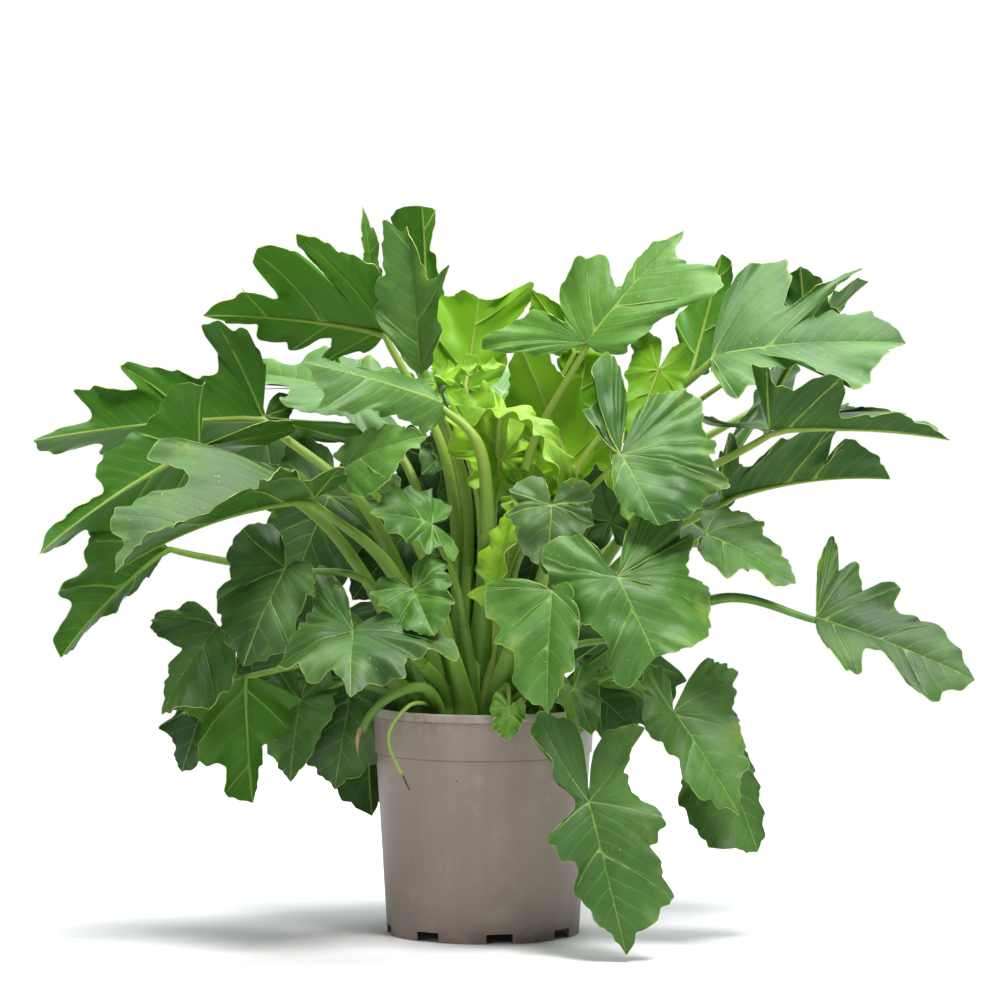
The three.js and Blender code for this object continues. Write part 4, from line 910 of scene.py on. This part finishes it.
def stalkLine(leaf, sheet, root, change):  # the points that a stalk's centre line passes
    step, bow, rise = change
    lean = Vector((leaf["base"][0] - root.x, leaf["base"][1] - root.y, 0)).normalized()
    foot = Vector((root.x, root.y, soil["top"] - stalk["sunk"]))
    collar = foot + up * (stalk["sunk"] + stalk["collar"])
    under = sheet.base - sheet.face * (stalkRadii(leaf)[1] + stalk["below"])
    away = (under - collar).length
    if "via" in leaf:
        via = Vector(leaf["via"]) + Vector((0, step * giveWay["step"] / 2, 0))
    else:
        via = collar.lerp(under, stalk["middle"]) + (up * stalk["arch"] - lean * stalk["tuck"]) * away
    via += Vector((-lean.y, lean.x, 0)) * (bow * giveWay["bow"]) + up * (rise * giveWay["rise"])
    return [foot, collar, via, under]


def stalkRadii(leaf):
    length = (Vector(leaf["tip"]) - Vector(leaf["base"])).length
    foot = (stalk["footBase"] + stalk["footShare"] * length) * leaf.get("stout", 1)
    return foot, stalk["topBase"] + stalk["topShare"] * length


def thinned(spot):  # how far a stalk has thinned from foot to top at a spot of its line
    spots, taper = stalk["spots"], stalk["taper"]
    i = max(k for k in range(len(spots) - 1) if spots[k] <= spot)
    return taper[i] + (taper[i + 1] - taper[i]) * (spot - spots[i]) / (spots[i + 1] - spots[i])


def fitted(leaf, halves):  # where the frame's leaf stands: its sheet and its stalk's line
    corners, root = inFrame(leaf["name"])
    tree = treeOf(corners)

    def misfit(step):
        sheet = Sheet(leaf, step * giveWay["step"])
        return sum(
            tree.find(sheet.at(u, v * hand, blade["wave"] * lift * sheet.length))[2]
            for hand, columns in zip((-1, 1), halves) for u, v, foot, lift in columns
        )

    step = min(range(-giveWay["most"], giveWay["most"] + 1), key=misfit)
    sheet = Sheet(leaf, step * giveWay["step"])
    foot, top = stalkRadii(leaf)

    def stalkMisfit(change):
        line = stalkLine(leaf, sheet, root, change)
        return sum(
            abs(tree.find(onCurve(line, spot / stalk["spans"]))[2] - (foot + (top - foot) * thinned(spot)))
            for spot in stalk["spots"][2:4]
        )

    bows = range(-giveWay["bows"], giveWay["bows"] + 1)
    rises = range(-giveWay["rises"], giveWay["rises"] + 1)
    change = min([(step, bow, rise) for bow in bows for rise in rises], key=stalkMisfit)
    return sheet, stalkLine(leaf, sheet, root, change)


def lobes(columns):  # the outline points that stand out farthest, to which the main veins run
    reach = [math.hypot(u - foot, v) for u, v, foot, lift in columns]
    return [i for i in range(1, len(columns) - 1) if reach[i - 1] < reach[i] >= reach[i + 1]]


def inColumn(column, t):  # the place in a column at the share t of its way to the margin
    u, v, foot = column[:3]
    return foot + (u - foot) * (t - blade["lag"] * t * (1 - t)), v * t


def grid(across, down):  # a flat grid of so many faces, to be given its shape
    bpy.ops.object.select_all(action="DESELECT")
    bpy.ops.mesh.primitive_grid_add(x_subdivisions=across, y_subdivisions=down, size=mm)
    return bpy.context.object


def thicken(made, thickness):
    shell = made.modifiers.new("thickness", "SOLIDIFY")
    shell.thickness = thickness * mm
    shell.offset = 0
    return shell


def fineColumns(columns, length, seed):  # the smooth outline in small steps, with its scallops
    points = [Vector((u, v)) for u, v, foot, lift in columns]
    fine = []
    run = 0
    before = points[0]
    for i in range(len(points) - 1):
        gap = (points[i + 1] - points[i]).length * length
        steps = max(3, round(gap / blade["spacing"]))
        for k in range(steps + (i == len(points) - 2)):
            share = k / steps
            place = onCurve(points, (i + share) / (len(points) - 1))
            foot = columns[i][2] + (columns[i + 1][2] - columns[i][2]) * share
            lift = columns[i][3] + (columns[i + 1][3] - columns[i][3]) * share
            run += (place - before).length
            before = place.copy()
            nearNotch, nearTip = blade["scallopEase"]
            ease = min(1, nearNotch * place.length, nearTip * (Vector((1, 0)) - place).length)
            tooth = abs(math.sin(math.pi * run / blade["scallops"] + seed)) - 0.6
            wobble = tooth * (0.75 + unrest(run * 3, seed, 0.5))
            wobble += unrest(run / blade["scallops"] * 0.6, seed, 4.5)
            wobble += 0.8 * unrest(run / blade["scallops"] * 3.7, seed, 8.5)
            grow = 1 + ease * blade["scallop"] * wobble / max(0.12, (place - Vector((foot, 0))).length)
            u, v = foot + (place.x - foot) * grow, max(0, place.y) * grow
            if i or k:
                fine.append((u, v, foot, lift, run * length))
    return fine


def bladeHalf(leaf, sheet, half, columns, ribs, seed):
    hand = (-1, 1)[half]
    fine = fineColumns(columns, sheet.length, seed)
    last = blade["rows"] - 1
    made = grid(len(fine) - 1, last)
    length = sheet.length
    ruffle = leaf.get("ruffle", 1)
    ripple = blade["youngRipple" if leaf["tone"] > blade["young"] else "ripple"] * ruffle * 2
    pillow = leaf.get("pillow", 1) * blade["pillow"]
    values = []
    for i, vertex in enumerate(made.data.vertices):
        row, at = divmod(i, len(fine))
        column = fine[at if hand > 0 else len(fine) - 1 - at]
        t = (row / last) ** blade["rowEase"]
        u, v = inColumn(column, t)
        lift, along = column[3:]
        rib = ribs.find(Vector((u, v, 0)))[2] * length
        free = min(1, 5 * v)  # the midrib stays where it is
        raised = blade["wave"] * lift * length * t ** 3
        raised += pillow * (1 - math.exp(-rib / blade["pillowSize"])) * (1 - blade["pillowFade"] * t)
        raised += ripple * t ** 2 * free * unrest(along / length / blade["ripples"] * ruffle, seed, 0.4 * t)
        crinkle = unrest(along / blade["crinkles"], seed, 0.5 * t + 9)
        raised += blade["crinkle"] * ruffle * t ** 6 * free * crinkle
        sway = unrest(u / blade["sways"], v / blade["sways"], seed + 0.3)
        raised += blade["sway"] * min(1, 4 * v) * sway
        vertex.co = sheet.at(u, hand * v, raised) * mm
        values.append((rib, along, t))
    ribList, alongList, runList = map(list, zip(*values))
    give(made, rib=ribList, along=alongList, run=runList)
    return made


def makeBlade(leaf, sheet, halves, seed):
    pieces = []
    for half, columns in enumerate(halves):
        side, main = blade["veinSpots"], blade["ribSpots"]
        lines = [[inColumn(columns[i], k / side) for k in range(side + 1)] for i in lobes(columns)]
        lines.append([(k / main, 0) for k in range(main + 1)])
        ribs = treeOf([Vector((u, v, 0)) for line in lines for u, v in line])
        pieces.append(bladeHalf(leaf, sheet, half, columns, ribs, seed + half))
    made = joined(pieces, leaf["name"] + "_blade")
    give(made, tone=leaf["tone"])
    for finish in leafFinishes:
        made.data.materials.append(finish.material)
    shell = thicken(made, blade["thickness"])
    shell.material_offset = 1
    shell.material_offset_rim = 2
    applyAll(made)
    smooth(made, 50)
    return made


def tubes(name, lines):  # round stems along lines of points with a radius each
    shape = bpy.data.curves.new(name, "CURVE")
    shape.dimensions = "3D"
    shape.bevel_depth = mm
    shape.bevel_resolution = stalk["bevel"]
    shape.use_fill_caps = True
    for line in lines:
        spline = shape.splines.new("POLY")
        spline.points.add(len(line) - 1)
        for point, (place, radius) in zip(spline.points, line):
            point.co = (*(place * mm), 1)
            point.radius = radius
    made = bpy.data.objects.new(name, shape)
    bpy.context.collection.objects.link(made)
    selectOnly(made)
    bpy.ops.object.convert(target="MESH")
    made = bpy.context.object
    smooth(made, 60)
    return made


def makeSheath(leaf, main):  # the stalk's broad foot: a trough that opens to the plant's middle
    count, sides = stalk["sheath"], stalk["sheathSides"]
    made = grid(count, sides)
    outwards = Vector(leaf["base"]) - main[0][0]
    outwards.z = 0
    tones = []
    for i, vertex in enumerate(made.data.vertices):
        row, k = divmod(i, count + 1)
        spread = 2 * row / sides - 1
        place, radius = main[k + 1]
        ahead = (main[k + 2][0] - place).normalized()
        sideways = ahead.cross(outwards).normalized()
        angle = spread * math.radians(stalk["sheathOpen"])
        grow = stalk["sheathGrow"] * (1 - (k / count) ** 2)
        out = sideways.cross(ahead) * (math.cos(angle) * (1 + grow * stalk["sheathDeep"]))
        vertex.co = (place + (out + sideways * (math.sin(angle) * (1 + grow))) * radius) * mm
        tones.append(min(1, leaf["tone"] + stalk["marginTone"] * abs(spread) ** 4))
    give(made, tone=tones)
    editAll(made)
    facesOut()
    thicken(made, stalk["sheathWall"])
    applyAll(made)
    smooth(made, 60)
    return made


def makeStalk(leaf, sheet, line, halves):
    foot, top = stalkRadii(leaf)
    main = []
    for k in range(stalk["samples"] + 1):
        spot = stalk["spans"] * k / stalk["samples"]
        radius = foot + (top - foot) * thinned(min(spot, 2.999))
        radius *= 1 + stalk["swell"] * math.exp(-((spot - stalk["swellAt"]) / stalk["swellWidth"]) ** 2)
        main.append((onCurve(line, spot / stalk["spans"]), radius))
    ribs = stalk["ribs"]
    start, run = stalk["ribRun"]
    for k in range(1, ribs + 1):
        radius = top + (stalk["ribTip"] - top) * (k / ribs) ** stalk["ribTaper"]
        main.append((sheet.at(start + run * k / ribs, 0, -radius * stalk["ribSunk"]), radius))
    lines = [main]
    thick, thin = stalk["veins"]
    for hand, columns in zip((-1, 1), halves):
        for i in lobes(columns):
            side = []
            for k in range(stalk["veinSamples"]):
                t = stalk["veinRun"] * k / (stalk["veinSamples"] - 1)
                u, v = inColumn(columns[i], t)
                radius = thick + (thin - thick) * t
                raised = blade["wave"] * columns[i][3] * sheet.length * t ** 3 - radius * stalk["veinSunk"]
                side.append((sheet.at(u, v * hand, raised), radius))
            lines.append(side)
    made = tubes(leaf["name"] + "_stalk", lines)
    give(made, tone=leaf["tone"])
    return joined([made, makeSheath(leaf, main)], leaf["name"] + "_stalk")


# The colours of blades and stems: tones are stops on the way from dark and grown to bright and young
upperSide = {
    "gloss": 0.46,
    "tones": [(0, paint(27, 56, 15)), (0.35, paint(54, 98, 26)), (0.7, paint(87, 139, 36)),
              (1, paint(144, 190, 28))],
    "cloud": paint(108, 154, 68),
    "rib": paint(150, 182, 96),
    "mottle": paint(40, 90, 22),
    "vein": paint(146, 180, 96),
    "fleck": paint(184, 184, 84),
    "yellowed": paint(150, 170, 50),
    "margin": paint(164, 184, 90),
}
# The undersides' tones are their own deep green, darkened further with painted shade of the side that faces
# down, away from the light.
underSide = {
    "gloss": 0.25,
    "tones": [(0, paint(34, 66, 20)), (0.35, paint(46, 90, 22)), (0.7, paint(76, 134, 24)),
              (1, paint(130, 182, 28))],
    "cloud": paint(92, 138, 50),
    "rib": paint(150, 184, 80),
    "vein": paint(136, 176, 66),
}
rim = {"tones": [(0, paint(132, 156, 74)), (1, paint(182, 202, 84))]}
stemSkin = {
    "tones": [(0, paint(66, 112, 36)), (0.5, paint(98, 144, 44)), (1, paint(160, 190, 84))],
    "streak": paint(132, 156, 70),
    # painted light: the paler colour of the stalks' upper parts
    "top": paint(154, 174, 66),
    "topFrom": (0.34, 0.56),
    "fleck": paint(60, 74, 30),
    "dry": paint(96, 66, 38),
}


def toneRamp(finish, look):
    return finish.node("ShaderNodeValToRGB", {"stops": look["tones"]}, {0: finish.attribute("tone")})


def sideVeins(finish, sharp):  # fine veins from the midrib to the margin
    course = finish.attribute("along") * 0.36 + finish.noise(30, 2) * 4
    wave = finish.node("ShaderNodeMath", {"operation": "SINE"}, {0: course})
    return finish.step(wave, sharp, 1.0) * (1 - finish.attribute("run") * 0.8)


def leafFinish(name, look):
    return Finish(name, {
        "Specular IOR Level": look["gloss"],
        "Subsurface Weight": 0.2,
        "Subsurface Radius": (0.6, 1, 0.25),
        "Subsurface Scale": 0.002,
    })


def upperFinish():
    look = upperSide
    finish = leafFinish("leafUpper", look)
    clouds = finish.noise(13, 3)
    colour = finish.mix(finish.step(clouds, 0.35, 0.75) * 0.45, toneRamp(finish, look), look["cloud"])
    run, rib = finish.attribute("run"), finish.attribute("rib")
    line = 1 - finish.step(rib, 0.35, 1.5 - run * 0.7)
    colour = finish.mix(line * 0.6, colour, look["rib"])
    mottle = finish.step(finish.noise(75, 5, 0.75), 0.42, 0.7)
    colour = finish.mix(mottle * 0.34, colour, look["mottle"])
    colour = finish.mix(sideVeins(finish, 0.88) * 0.18, colour, look["vein"])
    flecks = finish.step(finish.noise(260, 2), 0.7, 0.75) * finish.step(finish.noise(20, 2), 0.46, 0.58)
    colour = finish.mix(flecks * 0.75, colour, look["fleck"])
    yellowed = finish.step(run, 0.55, 1.0) * finish.step(finish.noise(18, 4, 0.7), 0.54, 0.72)
    colour = finish.mix(yellowed * 0.4, colour, look["yellowed"])
    colour = finish.mix(finish.step(run, 0.982, 1.0) * 0.45, colour, look["margin"])
    finish.set({"Base Color": colour, "Roughness": 0.47 + clouds * 0.18})
    finish.bump(finish.noise(60, 5, 0.6) * 1.2 - line * 0.5 - sideVeins(finish, 0.2) * 0.3, 0.0009, 0.65)
    return finish


def underFinish():
    look = underSide
    finish = leafFinish("leafUnder", look)
    clouds = finish.noise(15, 3)
    colour = finish.mix(finish.step(clouds, 0.4, 0.75) * 0.3, toneRamp(finish, look), look["cloud"])
    run, rib = finish.attribute("run"), finish.attribute("rib")
    line = 1 - finish.step(rib, 0.5, 2 - run)
    colour = finish.mix(line * 0.6, colour, look["rib"])
    lines = sideVeins(finish, 0.88)
    colour = finish.mix(lines * 0.18, colour, look["vein"])
    finish.set({"Base Color": colour, "Roughness": 0.5})
    finish.bump(lines * 0.2 + finish.noise(90, 3) * 0.6, 0.0006, 0.5)
    return finish


def rimFinish():
    finish = Finish("leafRim", {"Roughness": 0.45})
    finish.set({"Base Color": toneRamp(finish, rim)})
    return finish


def stemFinish(name, dries):  # dries: a bare stem, brown at its end
    look = stemSkin
    finish = Finish(name, {"Specular IOR Level": 0.4})
    streaks = finish.noise(1, 3, 0.6, (90, 90, 8))
    colour = finish.mix(finish.step(streaks, 0.35, 0.75) * 0.4, toneRamp(finish, look), look["streak"])
    # painted light: the stalks turn paler higher up, where they rise out of the leaves' shade into the light
    colour = finish.mix(finish.step(finish.height(), *look["topFrom"]) * 0.5, colour, look["top"])
    flecks = finish.step(finish.noise(500, 2), 0.66, 0.72)
    colour = finish.mix(flecks * 0.5, colour, look["fleck"])
    if dries:
        dry = finish.step(finish.attribute("along") + finish.noise(60, 3) * 0.06, 0.94, 0.98)
        colour = finish.mix(dry, colour, look["dry"])
    finish.set({"Base Color": colour, "Roughness": 0.42 + streaks * 0.15})
    finish.bump(streaks, 0.0006, 0.4)
    return finish


leafFinishes = [upperFinish(), underFinish(), rimFinish()]
stalkSkin = stemFinish("stalkSkin", False)
for place, leaf in enumerate(leaves + innerLeaves):
    draw = drawsFor(place)
    halves = [halfOutline(leaf, half, draw) for half in (0, 1)]
    if "root" in leaf:
        sheet = Sheet(leaf, 0)
        line = stalkLine(leaf, sheet, Vector((*leaf["root"], 0)), (0, 0, 0))
    else:
        sheet, line = fitted(leaf, halves)
    leafSlot = "young_leaf" if leaf["tone"] > blade["young"] else "leaf"
    standsFor = [] if "root" in leaf else [leaf["name"]]
    dress(makeBlade(leaf, sheet, halves, 7 * place), [], leafSlot, *standsFor)
    dress(makeStalk(leaf, sheet, line, halves), [stalkSkin], "stem")
print("leaves", len(leaves), "and inner leaves", len(innerLeaves))


def makeBareStem(stem):
    root = inFrame(stem["name"])[1]
    collar = root + up * (stalk["sunk"] + stalk["bareCollar"])
    line = [root, collar] + [Vector(point) for point in stem["path"]]
    thick, thin = stem["radii"]
    count = stalk["bareSamples"]
    rings = []
    for k in range(count + 1):
        share = k / count
        shrink = 1 - stalk["dryShrink"] * max(0, (share - stem["dry"]) / (1 - stem["dry"]))
        rings.append((onCurve(line, share), (thick + (thin - thick) * share) * shrink))
    made = tubes(stem["name"] + "_skin", [rings])
    tree = treeOf([place for place, radius in rings])
    along = [tree.find(vertex.co / mm)[1] / count for vertex in made.data.vertices]
    give(made, tone=stem["tone"], along=along)
    return made


bareSkin = stemFinish("bareStemSkin", True)
for stem in bareStems:
    dress(makeBareStem(stem), [bareSkin], "stem", stem["name"])
print("bare stems")

# A dried sheath that hangs beside the cut stem's end
husk = {
    "path": [(-131, -92, 245), (-136, -94, 237), (-139, -95, 225), (-137, -95, 207)],
    "radii": (1.5, 3.3, 2.6, 0.9),
    "steps": 8,
    "colours": [paint(96, 74, 44), paint(176, 158, 98)],
}


def makeHusk():
    points = [Vector(point) for point in husk["path"]]
    last = len(points) - 1
    rings = []
    for k in range(last * husk["steps"] + 1):
        i = min(k // husk["steps"], last - 1)
        thick, thin = husk["radii"][i:i + 2]
        radius = thick + (thin - thick) * (k / husk["steps"] - i)
        rings.append((onCurve(points, k / husk["steps"] / last), radius))
    return tubes("dry_husk", [rings])


def huskFinish():
    finish = Finish("huskSkin", {})
    fibres = finish.noise(1, 4, 0.6, (500, 500, 40))
    colour = finish.mix(finish.step(fibres, 0.35, 0.65), *husk["colours"])
    finish.set({"Base Color": colour, "Roughness": 0.6 + fibres * 0.2})
    finish.bump(fibres, 0.0008, 0.6)
    return finish


dress(makeHusk(), [huskFinish()], "stem")
print("husk")


# The stage: a pale floor that fades into white far from the pot, soft lights and the camera
stage = {"radius": 14, "sides": 96, "fade": (1.1, 2.6), "colour": paint(236, 236, 236), "roughness": 0.9}
sky = {"colour": (0.98, 0.99, 1, 1), "low": 0.11, "behind": 0.85, "edge": (0.35, 0.85)}
camera = {"place": (19, -5195.44, 705.75), "pitch": 2.4, "lens": 166.3, "sensor": 36, "farthest": 60}
lamps = {
    "key_light": {"place": (1.1, -1.9, 4.2), "aim": (0, 0, 0.4), "size": 1.6, "power": 232},
    "fill_light": {"place": (-2.6, -4.2, 2.2), "aim": (0, 0, 0.4), "size": 2.2, "power": 26},
    "back_light": {"place": (0.9, 2, 3.4), "aim": (0, 0, 0.5), "size": 2.2, "power": 85,
                   "colour": (0.88, 0.96, 1)},
    "top_light": {"place": (0, 0.5, 5.5), "aim": (0, 5, 2.2), "size": 3, "power": 420},
}


def makeFloor():
    bpy.ops.object.select_all(action="DESELECT")
    bpy.ops.mesh.primitive_circle_add(vertices=stage["sides"], radius=stage["radius"], fill_type="NGON")
    made = bpy.context.object
    made.name = "studio_floor"
    finish = Finish("studioFloor", {"Base Color": stage["colour"], "Roughness": stage["roughness"]})
    far = finish.node("ShaderNodeVectorMath", {"operation": "LENGTH"}, {0: finish.where}, "Value")
    seen = finish.node("ShaderNodeLightPath", output="Is Camera Ray")
    fade = finish.step(far, *stage["fade"]) * seen
    finish.cover(fade, Wire(finish, finish.shader.outputs[0]), finish.node("ShaderNodeBsdfTransparent"))
    made.data.materials.append(finish.material)


class Sky(Finish):  # the world's light, made of nodes in the same way
    def __init__(self):
        world = bpy.data.worlds.new("studio")
        world.use_nodes = True
        bpy.context.scene.world = world
        self.nodes = world.node_tree.nodes
        self.links = world.node_tree.links


def makeSky():  # white where the camera sees it, else soft, and brighter behind the object
    light = Sky()
    toward = light.node("ShaderNodeTexCoord", output="Generated")
    backwards = light.node("ShaderNodeSeparateXYZ", inputs={0: toward}, output="Y")
    strength = light.step(backwards, *sky["edge"]) * sky["behind"] + sky["low"]
    soft = light.node("ShaderNodeBackground", inputs={"Color": sky["colour"], "Strength": strength})
    white = light.node("ShaderNodeBackground", inputs={"Color": (1, 1, 1, 1), "Strength": 1.0})
    seen = light.node("ShaderNodeLightPath", output="Is Camera Ray")
    light.cover(seen, soft, white)


def addLight(name, lamp):
    light = bpy.data.lights.new(name, "AREA")
    light.shape = "DISK"
    light.size = lamp["size"]
    light.energy = lamp["power"]
    light.color = lamp.get("colour", (1, 1, 1))
    made = bpy.data.objects.new(name, light)
    made.location = lamp["place"]
    made.rotation_euler = (Vector(lamp["aim"]) - made.location).to_track_quat("-Z", "Y").to_euler()
    bpy.context.collection.objects.link(made)


def addCamera():
    view = bpy.data.cameras.new("photo_view")
    view.lens = camera["lens"]
    view.sensor_width = camera["sensor"]
    view.clip_end = camera["farthest"]
    made = bpy.data.objects.new("photo_view", view)
    made.location = Vector(camera["place"]) * mm
    made.rotation_euler = (math.radians(90 - camera["pitch"]), 0, 0)
    bpy.context.collection.objects.link(made)
    bpy.context.scene.camera = made


makeFloor()
makeSky()
for name, lamp in lamps.items():
    addLight(name, lamp)
addCamera()
bpy.context.scene.view_settings.view_transform = "Standard"
print("stage")
